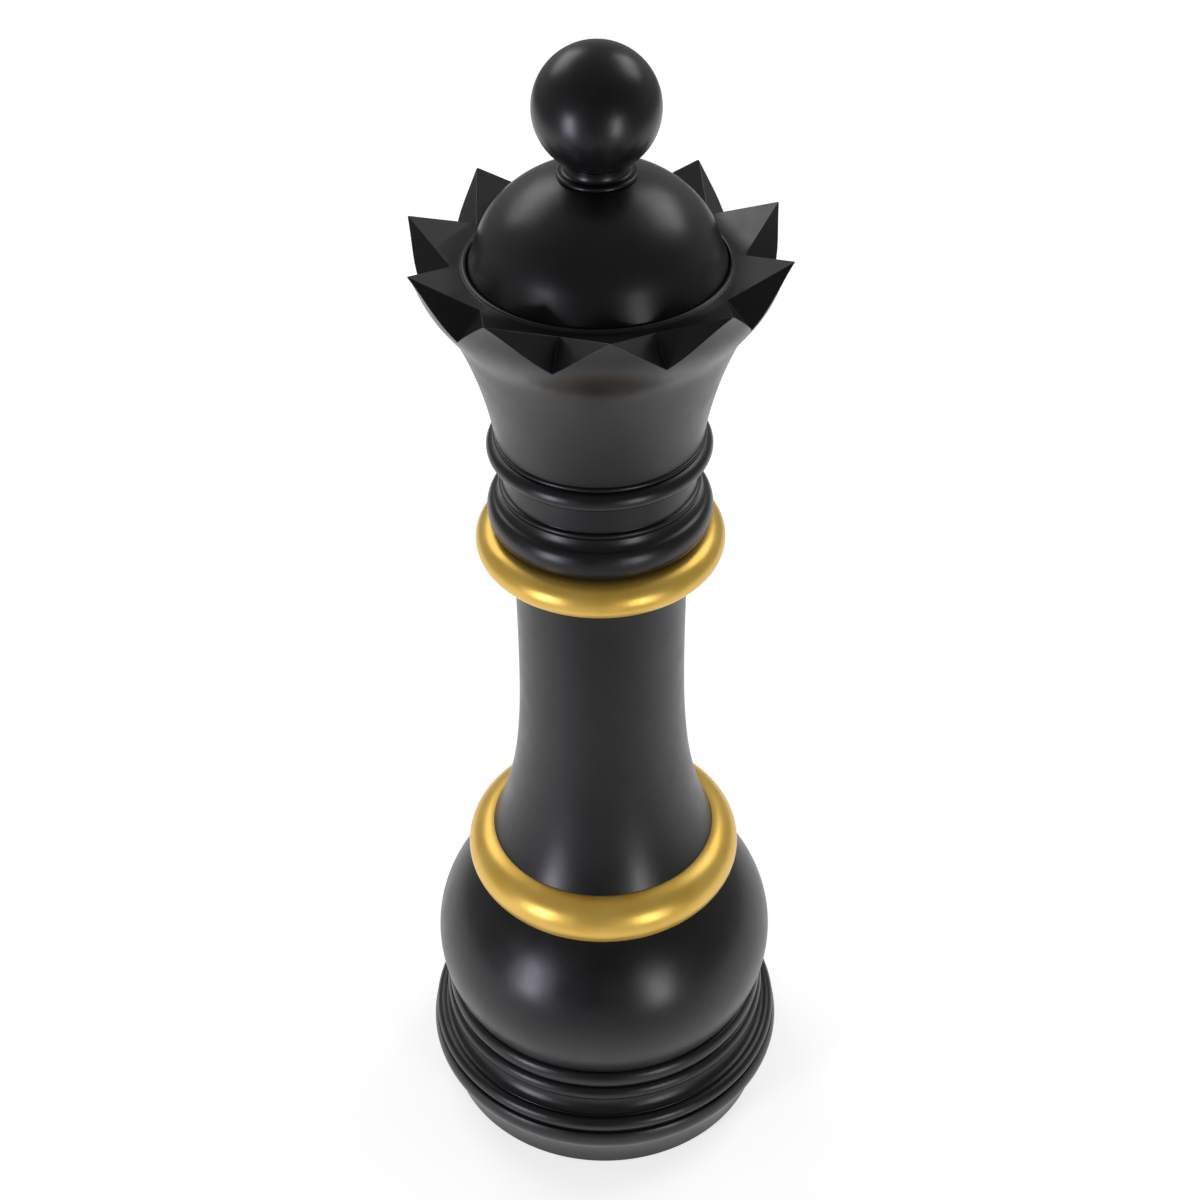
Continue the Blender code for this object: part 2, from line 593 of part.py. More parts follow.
# ---------------------------------------------------------------- tie rod and its nuts
def nut_mesh(name, bottom):
    """A hexagon nut with a round bore and its corners chamfered at both ends."""
    top = bottom + NUT_HEIGHT
    flat = NUT_ACROSS_FLATS / 2
    corner = flat / math.cos(math.radians(30))
    chamfer = (corner - flat) / 2
    bore = ROD_RADIUS + BORE_GAP
    mesh = turned_mesh(name, [(bore, top), (bore, bottom), (flat, bottom), (corner, bottom + chamfer),
                              (corner, top - chamfer), (flat, top)], INNER_STEPS)
    for vert in mesh.vertices:
        radius = math.hypot(vert.co.x, vert.co.y)
        turn = math.degrees(math.atan2(vert.co.y, vert.co.x)) % 60
        reach = flat / math.cos(math.radians(turn - 30))
        if radius > reach:
            vert.co.x *= reach / radius
            vert.co.y *= reach / radius
    return mesh


def make_rod():
    """The tie rod, with a washer and a nut under the foot's web and in the crown's pocket."""
    turned("tie_rod", [(0, ROD_BOTTOM), (ROD_RADIUS, ROD_BOTTOM), (ROD_RADIUS, ROD_TOP), (0, ROD_TOP)],
           zinc_steel(), INNER_STEPS)
    bore = ROD_RADIUS + BORE_GAP
    crown_washer = POCKET_FLOOR + SEAT_GAP
    for name, bottom in (("base_washer", BASE_WASHER_BOTTOM), ("crown_washer", crown_washer)):
        top = bottom + WASHER_THICKNESS
        section(name, bottom, top, [(WASHER_RADIUS, bottom), (WASHER_RADIUS, top)], zinc_steel(),
                INNER_STEPS, bore)
    crown_nut = crown_washer + WASHER_THICKNESS + SEAT_GAP
    for name, bottom in (("base_nut", BASE_NUT_BOTTOM), ("crown_nut", crown_nut)):
        add_object(name, nut_mesh(name, bottom), zinc_steel())


def main():
    remove_old_objects()
    foot = make_foot()
    cover = make_cover()
    make_cover_screws(foot, cover)
    make_pads()
    make_ballast()
    make_base_mouldings()
    make_bulb()
    make_lower_ring()
    make_column()
    make_neck()
    make_crown()
    make_dome()
    make_finial()
    make_rod()


main()
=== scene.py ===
"""Visual model of a giant chess queen: black lacquered turnings, two gold rings and a ball finial.

Metres, +Z up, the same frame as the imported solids. Every piece sits at the origin with its
place in its mesh, and rides on the body that its solid belongs to.
"""

import logging
import math
from collections.abc import Iterable, Sequence
from dataclasses import dataclass, field
from enum import Enum

import bmesh
import bpy
from mathutils import Matrix, Vector


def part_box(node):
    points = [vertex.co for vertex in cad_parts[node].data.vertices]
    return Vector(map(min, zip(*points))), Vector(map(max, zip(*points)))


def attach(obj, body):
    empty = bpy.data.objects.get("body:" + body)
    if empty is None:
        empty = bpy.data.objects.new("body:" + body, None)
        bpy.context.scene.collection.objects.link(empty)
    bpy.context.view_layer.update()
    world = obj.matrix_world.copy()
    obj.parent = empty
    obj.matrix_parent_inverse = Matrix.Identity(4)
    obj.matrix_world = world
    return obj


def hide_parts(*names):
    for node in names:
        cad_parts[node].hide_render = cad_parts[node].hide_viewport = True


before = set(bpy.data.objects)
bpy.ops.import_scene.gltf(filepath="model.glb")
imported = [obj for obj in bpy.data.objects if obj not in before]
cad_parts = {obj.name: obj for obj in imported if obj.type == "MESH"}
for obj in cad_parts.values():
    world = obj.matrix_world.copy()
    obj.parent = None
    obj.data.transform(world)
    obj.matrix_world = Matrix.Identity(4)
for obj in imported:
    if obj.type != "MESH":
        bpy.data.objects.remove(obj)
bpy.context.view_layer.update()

MM = 0.001
ROD_BORE = 0.0066       # the hole round the tie rod, in every section that it passes through

log = logging.getLogger("queen")

Point = tuple[float, float]
Colour = tuple[float, float, float, float]
Mesh = bpy.types.Mesh
Object = bpy.types.Object
Tree = bpy.types.NodeTree
Socket = bpy.types.NodeSocket
Vert = bmesh.types.BMVert


class Body(str, Enum):
    """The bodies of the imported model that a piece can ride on."""

    PIECE = "piece"
    COLLAR = "collar"
    BALL = "ball"


# ------------------------------------------------------------------ materials
def linear(code: str) -> Colour:
    """Turns an sRGB hex code into a linear colour.

    Args:
        code: Six hex digits, such as "c9a640".

    Returns:
        Red, green, blue and alpha, linear.
    """
    channels = []
    for i in (0, 2, 4):
        value = int(code[i:i + 2], 16) / 255
        channels.append(value / 12.92 if value <= 0.04045 else ((value + 0.055) / 1.055) ** 2.4)
    return (channels[0], channels[1], channels[2], 1.0)


def node(tree: Tree, kind: str, settings: dict | None = None,
         links: dict | None = None) -> bpy.types.Node:
    """Adds one node with its settings and its incoming links.

    Args:
        tree: The tree that the node goes in.
        kind: The node's type name.
        settings: Attribute names, or input sockets (by name or index after "in:"), to values.
        links: Input sockets (name or index) to the output sockets that feed them.

    Returns:
        The new node.
    """
    made = tree.nodes.new(kind)
    for key, value in (settings or {}).items():
        if key.startswith("in:"):
            name = key[3:]
            made.inputs[int(name) if name.isdigit() else name].default_value = value
        else:
            setattr(made, key, value)
    for key, source in (links or {}).items():
        tree.links.new(source, made.inputs[key])
    return made


def per_metre(size_mm: float) -> float:
    """A noise or wave scale, from the real size in millimetres of one feature."""
    return 1000.0 / size_mm


def noise(tree: Tree, place: Socket, size_mm: float, detail: float, twist: float = 0.0) -> Socket:
    """Noise whose features have a real size."""
    made = node(tree, "ShaderNodeTexNoise",
                {"in:Scale": per_metre(size_mm), "in:Detail": detail, "in:Distortion": twist},
                {"Vector": place})
    return made.outputs["Fac"]


def bump(tree: Tree, height: Socket, height_mm: float, under: dict | None = None) -> Socket:
    """A relief of real height, over another one if there is one."""
    made = node(tree, "ShaderNodeBump", {"in:Strength": 1.0, "in:Distance": height_mm * MM},
                {"Height": height} | (under or {}))
    return made.outputs["Normal"]


@dataclass(frozen=True)
class Finish:
    """A Principled shader whose colour, gloss and relief vary over the piece."""

    name: str
    dark: str
    light: str
    metallic: float = 0.0
    rough_low: float = 0.3
    rough_high: float = 0.4
    mottle_mm: float = 40.0
    gloss_mm: float = 18.0
    relief_mm: float = 2.2
    relief_height_mm: float = 0.01
    coat: float = 0.0
    coat_roughness: float = 0.1
    specular: float = 0.5

    def material(self) -> bpy.types.Material:
        """The finish's material, made the first time it is asked for."""
        found = bpy.data.materials.get(self.name)
        return found if found else self.make()

    def make(self) -> bpy.types.Material:
        """Makes the material.

        Returns:
            A material that reads Object coordinates, so its patterns stay on the piece.
        """
        made = bpy.data.materials.new(self.name)
        made.use_nodes = True
        tree = made.node_tree
        shader = tree.nodes["Principled BSDF"]
        shader.inputs["Metallic"].default_value = self.metallic
        shader.inputs["Specular IOR Level"].default_value = self.specular
        shader.inputs["Coat Weight"].default_value = self.coat
        shader.inputs["Coat Roughness"].default_value = self.coat_roughness
        place = node(tree, "ShaderNodeTexCoord").outputs["Object"]
        tree.links.new(self.colour(tree, place), shader.inputs["Base Color"])
        tree.links.new(self.gloss(tree, place), shader.inputs["Roughness"])
        tree.links.new(self.relief(tree, place), shader.inputs["Normal"])
        made.diffuse_color = linear(self.light)
        return made

    def colour(self, tree: Tree, place: Socket) -> Socket:
        """Mottles the colour slowly between the finish's dark and light."""
        return self.ramp(tree, noise(tree, place, self.mottle_mm, 3.0), 0.35, 0.68)

    def ramp(self, tree: Tree, value: Socket, dark_at: float, light_at: float) -> Socket:
        """The finish's dark below one value of a pattern, running into its light at another."""
        made = node(tree, "ShaderNodeValToRGB", {}, {"Fac": value})
        dark, light = made.color_ramp.elements
        dark.position, dark.color = dark_at, linear(self.dark)
        light.position, light.color = light_at, linear(self.light)
        return made.outputs["Color"]

    def gloss(self, tree: Tree, place: Socket) -> Socket:
        """Varies the roughness between the finish's low and high."""
        span = node(tree, "ShaderNodeMapRange",
                    {"in:From Min": 0.3, "in:From Max": 0.7, "in:To Min": self.rough_low,
                     "in:To Max": self.rough_high},
                    {"Value": noise(tree, place, self.gloss_mm, 4.0)})
        return span.outputs["Result"]

    def relief(self, tree: Tree, place: Socket) -> Socket:
        """The fine unevenness of the surface, as a bump of real height."""
        return bump(tree, noise(tree, place, self.relief_mm, 2.0), self.relief_height_mm)


@dataclass(frozen=True)
class SprayedLacquer(Finish):
    """Sprayed satin lacquer on hardwood: fine orange peel over faint lathe rings."""

    ring_mm: float = 1.6
    ring_height_mm: float = 0.003

    def relief(self, tree: Tree, place: Socket) -> Socket:
        """Lathe rings round the axis, then the orange peel of the spray over them."""
        rings = node(tree, "ShaderNodeTexWave",
                     {"bands_direction": "Z", "in:Scale": per_metre(self.ring_mm) / 20,
                      "in:Distortion": 0.6, "in:Detail": 1.0, "in:Detail Scale": 0.2},
                     {"Vector": place})
        low = bump(tree, rings.outputs["Fac"], self.ring_height_mm)
        peel = noise(tree, place, self.relief_mm, 1.0)
        return bump(tree, peel, self.relief_height_mm, {"Normal": low})


@dataclass(frozen=True)
class RotaryPlywood(Finish):
    """Rotary-peeled birch plywood: long wavering figure along X, under a matt sealer."""

    figure_mm: float = 9.0

    def colour(self, tree: Tree, place: Socket) -> Socket:
        """Draws the figure as stretched noise, dark lines on pale wood."""
        stretch = node(tree, "ShaderNodeMapping", {"in:Scale": (0.12, 1.0, 1.0)}, {"Vector": place})
        figure = noise(tree, stretch.outputs["Vector"], self.figure_mm, 6.0, 1.2)
        return self.ramp(tree, figure, 0.38, 0.60)


# Satin black lacquer: near-black body, soft highlights that spread over a few millimetres.
BLACK = SprayedLacquer("satin_black_lacquer", "0e0e0f", "151516", rough_low=0.29, rough_high=0.36,
                       relief_mm=2.6, relief_height_mm=0.006, specular=0.42)
# Gold lacquer with fine metal flake: a warm metal whose highlights bloom.
GOLD = SprayedLacquer("satin_gold_lacquer", "e0b54c", "e8c05c", metallic=0.55, rough_low=0.31,
                      rough_high=0.37, mottle_mm=30.0, gloss_mm=15.0, relief_mm=1.8,
                      relief_height_mm=0.002)
# Sealed birch plywood: pale, matt, with a wavering figure.
PLYWOOD = RotaryPlywood("sealed_birch_plywood", "a87f4f", "cfae7c", rough_low=0.50, rough_high=0.66,
                        relief_mm=0.9, relief_height_mm=0.03)
# Bright zinc plate on steel: cool, a little cloudy.
ZINC = Finish("zinc_plated_steel", "9fa3a8", "c2c5c8", metallic=1.0, rough_low=0.24,
              rough_high=0.38, mottle_mm=5.0, gloss_mm=3.0, relief_mm=0.7, relief_height_mm=0.004)
# Sand-cast iron, oiled: dark and grainy.
IRON = Finish("sand_cast_iron", "2c2b2a", "47443f", metallic=1.0, rough_low=0.52, rough_high=0.74,
              mottle_mm=11.0, gloss_mm=5.0, relief_mm=1.2, relief_height_mm=0.12)
# Machined brass: bright yellow metal with tool marks.
BRASS = Finish("machined_brass", "b3873a", "d2a955", metallic=1.0, rough_low=0.20, rough_high=0.32,
               mottle_mm=6.0, gloss_mm=2.0, relief_mm=0.5, relief_height_mm=0.004)
# Moulded black rubber: matt with a fine spark-eroded grain.
RUBBER = Finish("moulded_black_rubber", "151515", "222222", rough_low=0.62, rough_high=0.80,
                mottle_mm=8.0, gloss_mm=4.0, relief_mm=0.6, relief_height_mm=0.03)
# Seamless studio paper under the piece: white, quite matt, with a fibre too fine to see from afar.
PAPER = Finish("studio_paper", "dadada", "e0e0e0", rough_low=0.85, rough_high=0.95, mottle_mm=600.0,
               gloss_mm=200.0, relief_mm=3.0, relief_height_mm=0.01)


# ------------------------------------------------------------------ profiles and turned meshes
def cad_span(name: str) -> Point:
    """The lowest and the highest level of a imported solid."""
    low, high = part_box(name)
    return low[2], high[2]


def arc(centre: Point, wide: float, tall: float, start: float, end: float,
        step: float = 6.0) -> list[Point]:
    """Points on an elliptical arc of a profile.

    Args:
        centre: The arc's centre, as radius and height.
        wide: The half axis along the radius.
        tall: The half axis along the height.
        start: The first angle, in degrees from outwards towards up.
        end: The last angle.
        step: The largest angle between two points.

    Returns:
        The arc's points, its ends included.
    """
    count = max(2, round(abs(end - start) / step))
    angles = [math.radians(start + (end - start) * i / count) for i in range(count + 1)]
    return [(centre[0] + wide * math.cos(a), centre[1] + tall * math.sin(a)) for a in angles]


@dataclass
class Profile:
    """A turned piece's outline: points of radius and height, some of them eased corners."""

    points: list[Point] = field(default_factory=list)
    eased: dict[int, float] = field(default_factory=dict)
    closed: bool = True
    bezier_steps: int = 6

    def to(self, radius: float, height: float, ease: float = 0.0) -> "Profile":
        """Adds a point, which is a corner eased over the given length on either side."""
        self.points.append((radius, height))
        if ease:
            self.eased[len(self.points) - 1] = ease
        return self

    def along(self, points: Sequence[Point], ease_first: float = 0.0,
              ease_last: float = 0.0) -> "Profile":
        """Adds a run of points, such as an arc, with its two ends eased if they are corners."""
        first = len(self.points)
        self.points.extend(points)
        if ease_first:
            self.eased[first] = ease_first
        if ease_last:
            self.eased[len(self.points) - 1] = ease_last
        return self

    def outline(self) -> list[Point]:
        """The finished outline.

        Returns:
            The points, with each eased corner drawn as a short curve between two support points.
        """
        if not self.eased:
            return list(self.points)
        loop = self.points + self.points[:1] if self.closed else self.points
        reach = [0.0]
        for a, b in zip(loop, loop[1:]):
            reach.append(reach[-1] + math.dist(a, b))
        total = reach[-1]
        found: list[tuple[float, Point]] = []
        for i, here in enumerate(self.points):
            clear = True
            for j, ease in self.eased.items():
                away = abs(reach[i] - reach[j])
                away = min(away, total - away) if self.closed else away
                clear = clear and away > ease * 1.02
            if clear:
                found.append((reach[i], here))
        for j, ease in self.eased.items():
            before = self.at(loop, reach, total, reach[j] - ease)
            after = self.at(loop, reach, total, reach[j] + ease)
            corner = self.points[j]
            for k in range(self.bezier_steps + 1):
                t = k / self.bezier_steps
                spot = bezier(before, corner, after, t)
                found.append(((reach[j] + ease * (2 * t - 1)) % total if self.closed
                              else reach[j] + ease * (2 * t - 1), spot))
            for side in (-1, 1):
                support = reach[j] + side * ease * 1.35
                gaps = {m: abs(support - reach[m]) for m in self.eased if m != j}
                clear = all(min(gap, total - gap) > self.eased[m] * 1.1 for m, gap in gaps.items())
                if clear:
                    found.append((support % total if self.closed else support,
                                  self.at(loop, reach, total, support)))
        found.sort(key=lambda item: item[0])
        tidy: list[Point] = []
        for _, spot in found:
            if not tidy or math.dist(tidy[-1], spot) > 1e-6:
                tidy.append(spot)
        return tidy

    def at(self, loop: Sequence[Point], reach: Sequence[float], total: float,
           where: float) -> Point:
        """The point at a distance along the outline."""
        where = where % total if self.closed else min(max(where, 0.0), total)
        for i in range(len(loop) - 1):
            if where <= reach[i + 1]:
                share = (where - reach[i]) / max(reach[i + 1] - reach[i], 1e-12)
                return (loop[i][0] + (loop[i + 1][0] - loop[i][0]) * share,
                        loop[i][1] + (loop[i + 1][1] - loop[i][1]) * share)
        return loop[-1]


def turned_mesh(name: str, outline: Sequence[Point], segments: int) -> Mesh:
    """Turns an outline once round the axis.

    Args:
        name: The mesh's name.
        outline: Points of radius and height, a closed loop unless both ends are on the axis.
        segments: The number of steps round the axis.

    Returns:
        A closed mesh, smooth all over.
    """
    bm = bmesh.new()
    columns = []
    poles = {i: bm.verts.new((0.0, 0.0, z)) for i, (r, z) in enumerate(outline) if r < 1e-7}
    for s in range(segments):
        turn = 2 * math.pi * s / segments
        columns.append([poles[i] if i in poles else bm.verts.new((*polar(r, turn), z))
                        for i, (r, z) in enumerate(outline)])
    last = len(outline) - 1 if poles else len(outline)
    for s in range(segments):
        here, there = columns[s], columns[(s + 1) % segments]
        for i in range(last):
            j = (i + 1) % len(outline)
            corners = []
            for vert in (here[i], here[j], there[j], there[i]):
                if vert not in corners:
                    corners.append(vert)
            if len(corners) > 2:
                bm.faces.new(corners)
    return closed_mesh(bm, name)


def closed_mesh(bm: bmesh.types.BMesh, name: str) -> Mesh:
    """Writes a bmesh out as a smooth mesh whose faces point outwards, and frees it."""
    bmesh.ops.recalc_face_normals(bm, faces=bm.faces)
    mesh = bpy.data.meshes.new(name)
    bm.to_mesh(mesh)
    bm.free()
    mesh.shade_smooth()
    return mesh


def placed(name: str, data: bpy.types.ID) -> Object:
    """A new object in the scene, at the origin."""
    obj = bpy.data.objects.new(name, data)
    bpy.context.scene.collection.objects.link(obj)
    return obj


def skin(bm: bmesh.types.BMesh, pairs: Iterable[tuple[list[Vert], list[Vert]]]) -> None:
    """Fills the strip between the two rings of each pair with quads."""
    for a, b in pairs:
        for s in range(len(a)):
            n = (s + 1) % len(a)
            bm.faces.new((a[s], a[n], b[n], b[s]))


def show(name: str, mesh: Mesh, finish: Finish, body: Body, solids: Sequence[str]) -> Object:
    """Places a piece with its finish, on its body, in place of the solids it stands for.

    Args:
        name: The piece's name.
        mesh: Its mesh, in world coordinates.
        finish: Its finish.
        body: The body that it moves with.
        solids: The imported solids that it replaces.

    Returns:
        The new object.
    """
    if not mesh.materials:
        mesh.materials.append(finish.material())
    obj = placed(name, mesh)
    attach(obj, body.value)
    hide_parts(*solids)
    log.info("%s on %s: %d faces", name, body.value, len(mesh.polygons))
    return obj


def turned(name: str, outline: Profile, segments: int, finish: Finish, solid: str,
           body: Body = Body.PIECE) -> Object:
    """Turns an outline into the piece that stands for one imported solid, and shows it."""
    return show(name, turned_mesh(name, outline.outline(), segments), finish, body, [solid])


def bored(low: float, high: float) -> Profile:
    """The start of a section's outline: the bore for the tie rod, from its top down to its foot."""
    return Profile().to(ROD_BORE, high).to(ROD_BORE, low)


# ------------------------------------------------------------------ geometry nodes
class RingArray:
    """A Geometry Nodes tree that repeats an item round the axis, welds and dresses it."""

    TREE = "ring_array"

    def __init__(self) -> None:
        """Builds the tree, with its sizes as named inputs."""
        tree = bpy.data.node_groups.new(self.TREE, "GeometryNodeTree")
        kinds = {"Item": "Geometry", "Count": "Int", "Start angle": "Float",
                 "Weld distance": "Float", "Material": "Material"}
        self.sockets = {}
        for name, kind in kinds.items():
            made = tree.interface.new_socket(name, in_out="INPUT", socket_type="NodeSocket" + kind)
            self.sockets[name] = made.identifier
        tree.interface.new_socket("Geometry", in_out="OUTPUT", socket_type="NodeSocketGeometry")
        given = node(tree, "NodeGroupInput").outputs
        points = node(tree, "GeometryNodePoints", {}, {"Count": given["Count"]})
        index = node(tree, "GeometryNodeInputIndex")
        step = node(tree, "ShaderNodeMath", {"operation": "DIVIDE", "in:0": 2 * math.pi},
                    {1: given["Count"]})
        turn = node(tree, "ShaderNodeMath", {"operation": "MULTIPLY_ADD"},
                    {0: index.outputs[0], 1: step.outputs[0], 2: given["Start angle"]})
        angles = node(tree, "ShaderNodeCombineXYZ", {}, {"Z": turn.outputs[0]})
        placed = node(tree, "GeometryNodeInstanceOnPoints", {},
                      {"Points": points.outputs[0], "Instance": given["Item"],
                       "Rotation": angles.outputs[0]})
        real = node(tree, "GeometryNodeRealizeInstances", {}, {"Geometry": placed.outputs[0]})
        welded = node(tree, "GeometryNodeMergeByDistance", {},
                      {"Geometry": real.outputs[0], "Distance": given["Weld distance"]})
        dressed = node(tree, "GeometryNodeSetMaterial", {},
                       {"Geometry": welded.outputs[0], "Material": given["Material"]})
        node(tree, "NodeGroupOutput", {}, {"Geometry": dressed.outputs[0]})
        self.tree = tree

    def mesh(self, item: Mesh, count: int, start: float, weld: float, finish: Finish) -> Mesh:
        """Repeats an item round the axis.

        Args:
            item: One item, in its place for an angle of 0.
            count: How many there are.
            start: The first one's angle, in radians.
            weld: Points closer than this become one, in metres.
            finish: The finish they get.

        Returns:
            One plain mesh of all the items.
        """
        carrier = placed("carrier", item)
        modifier = carrier.modifiers.new("ring", "NODES")
        modifier.node_group = self.tree
        values = {"Count": count, "Start angle": start, "Weld distance": weld,
                  "Material": finish.material()}
        for key, value in values.items():
            modifier[self.sockets[key]] = value
        result = baked(carrier)
        bpy.data.objects.remove(carrier, do_unlink=True)
        return result


def baked(obj: Object) -> Mesh:
    """The plain mesh that an object's modifiers make."""
    graph = bpy.context.evaluated_depsgraph_get()
    graph.update()
    mesh = bpy.data.meshes.new_from_object(obj.evaluated_get(graph), preserve_all_data_layers=False,
                                           depsgraph=graph)
    obj.modifiers.clear()
    return mesh


# ------------------------------------------------------------------ the piece's sub-assemblies
@dataclass
class Foot:
    """The foot and all that is under it: cover, screws, pads and the ballast inside."""

    rim_radius: float = 0.1292
    wall: float = 0.0078
    ledge: float = 0.0140
    cove_low: Point = (0.1301, 0.0185)
    nose_radius: float = 0.0139
    nose_out: float = 0.1424
    nose_centre_height: float = 0.0428
    nose_start: float = -58.0
    nose_end: float = 35.0
    pocket_radius: float = 0.0240
    cover_gap: float = 0.0003
    screw_circle: float = 0.1144
    screw_head: float = 0.0045
    screw_shank: float = 0.0022
    screw_count: int = 4
    pad_circle: float = 0.0980
    pad_radius: float = 0.0110
    pad_count: int = 4
    ballast_bore: float = 0.0240

    def build(self, ring: RingArray) -> None:
        """Builds the foot and what it holds."""
        self.build_body()
        self.build_cover()
        self.build_screws(ring)
        self.build_pads(ring)
        self.build_ballast()

    def build_body(self) -> None:
        """The lacquered foot: a coved wall, a bullnose and the recesses underneath."""
        low, high = cad_span("base_foot")
        shelf = cad_span("base_cover")[1] + self.cover_gap
        roof = cad_span("ballast_ring")[1] + self.cover_gap
        web = cad_span("base_washer")[1] + self.cover_gap
        recess = self.rim_radius - self.wall
        ledge = recess - self.ledge
        nose = (self.nose_out - self.nose_radius, self.nose_centre_height)
        nose_arc = arc(nose, self.nose_radius, self.nose_radius, self.nose_start, self.nose_end, 4)
        start = nose_arc[0]
        cove = [bezier((self.rim_radius, low), self.cove_low, start, t / 14) for t in range(1, 14)]
        outline = Profile().to(recess, low, 0.8 * MM).to(self.rim_radius, low, 1.2 * MM)
        outline.along(cove).along(nose_arc, ease_last=0.9 * MM)
        outline.to(ROD_BORE, high, 0.5 * MM).to(ROD_BORE, web).to(self.pocket_radius, web)
        outline.to(self.pocket_radius, roof).to(ledge, roof)
        outline.to(ledge, shelf, 0.5 * MM).to(recess, shelf)
        turned("foot_turning", outline, 192, BLACK, "base_foot")

    def build_cover(self) -> None:
        """The plywood cover: eased edge, a hole for each screw, a groove scored in its middle."""
        low, high = cad_span("base_cover")
        radius = self.rim_radius - self.wall - self.cover_gap
        outline = Profile(closed=False).to(0, low).to(0.030, low).to(0.0304, low + 0.4 * MM)
        outline.to(0.0316, low + 0.4 * MM).to(0.0320, low)
        outline.to(radius, low, 0.8 * MM).to(radius, high, 0.5 * MM).to(0, high)
        cover = turned("cover_plate", outline, 144, PLYWOOD, "base_cover")
        drill(cover, [polar(self.screw_circle, i * 2 * math.pi / self.screw_count)
                      for i in range(self.screw_count)], self.screw_head + 0.4 * MM, low, high)

    def build_screws(self, ring: RingArray) -> None:
        """Countersunk wood screws with a cross recess and a helical thread."""
        low, high = cad_span("cover_screw_1")
        item = screw_mesh(low, high, self.screw_head, self.screw_shank)
        item.transform(Matrix.Translation((self.screw_circle, 0.0, 0.0)))
        mesh = ring.mesh(item, self.screw_count, 0.0, 1e-6, ZINC)
        show("cover_screws", mesh, ZINC, Body.PIECE, numbered("cover_screw", self.screw_count))

    def build_pads(self, ring: RingArray) -> None:
        """Rubber pads: domed edge, two rings moulded in the tread."""
        low, high = cad_span("foot_pad_1")
        r = self.pad_radius
        groove = low + 0.5 * MM
        outline = Profile(closed=False).to(0, groove).to(r * 0.28, groove).to(r * 0.32, low)
        outline.to(r * 0.58, low).to(r * 0.62, groove).to(r * 0.68, groove).to(r * 0.72, low)
        outline.to(r, low, 0.9 * MM).to(r, high, 0.3 * MM).to(0, high)
        item = turned_mesh("pad", outline.outline(), 48)
        item.transform(Matrix.Translation((self.pad_circle, 0.0, 0.0)))
        mesh = ring.mesh(item, self.pad_count, math.pi / self.pad_count, 1e-6, RUBBER)
        show("foot_pads", mesh, RUBBER, Body.PIECE, numbered("foot_pad", self.pad_count))

    def build_ballast(self) -> None:
        """The cast ballast ring, with drafted sides and a raised rim."""
        low, high = cad_span("ballast_ring")
        outer = cad_out("ballast_ring")
        hole = self.ballast_bore
        outline = Profile().to(hole, high, 1 * MM).to(hole, low, 1 * MM).to(outer, low, 1.5 * MM)
        outline.to(outer - 1 * MM, high, 1.5 * MM).to(outer - 9 * MM, high, 1 * MM)
        outline.to(outer - 10 * MM, high - 1 * MM, 1 * MM).to(hole + 10 * MM, high - 1 * MM, 1 * MM)
        outline.to(hole + 9 * MM, high, 1 * MM)
        turned("ballast_casting", outline, 96, IRON, "ballast_ring")


def numbered(stem: str, count: int) -> list[str]:
    """The names of a set of equal solids, counted from 1."""
    return [f"{stem}_{i + 1}" for i in range(count)]


def bead(edge: float, out: float, low: float, high: float, end: float = 90,
         step: float = 6) -> list[Point]:
    """The half-round side of a bead between two levels, from its foot up."""
    half = (high - low) / 2
    return arc((edge, low + half), out - edge, half, -90, end, step)


def bezier(a: Point, b: Point, c: Point, t: float) -> Point:
    """A point on the quadratic curve from a to c that is drawn towards b."""
    return ((1 - t) ** 2 * a[0] + 2 * t * (1 - t) * b[0] + t * t * c[0],
            (1 - t) ** 2 * a[1] + 2 * t * (1 - t) * b[1] + t * t * c[1])


def polar(radius: float, angle: float) -> Point:
    """A point on a circle round the axis, its angle in radians from +X."""
    return radius * math.cos(angle), radius * math.sin(angle)


def drill(obj: Object, places: Sequence[Point], radius: float, low: float, high: float) -> None:
    """Cuts plain holes parallel to the axis through a piece.

    Args:
        obj: The piece, whose mesh is changed.
        places: Where each hole is, in X and Y.
        radius: The holes' radius.
        low: The piece's lower side.
        high: Its upper side.
    """
    bm = bmesh.new()
    for x, y in places:
        made = bmesh.ops.create_cone(bm, cap_ends=True, segments=32, radius1=radius, radius2=radius,
                                     depth=high - low + 0.002)
        bmesh.ops.translate(bm, verts=made["verts"], vec=Vector((x, y, (low + high) / 2)))
    tool = placed("drill", bpy.data.meshes.new("drill"))
    bm.to_mesh(tool.data)
    bm.free()
    work = placed("work", obj.data)
    modifier = work.modifiers.new("drill", "BOOLEAN")
    modifier.operation = "DIFFERENCE"
    modifier.solver = "EXACT"
    modifier.object = tool
    mesh = baked(work)
    mesh.shade_smooth()
    mesh.set_sharp_from_angle(angle=math.radians(40))
    bpy.data.objects.remove(work, do_unlink=True)
    bpy.data.objects.remove(tool, do_unlink=True)
    obj.data = mesh


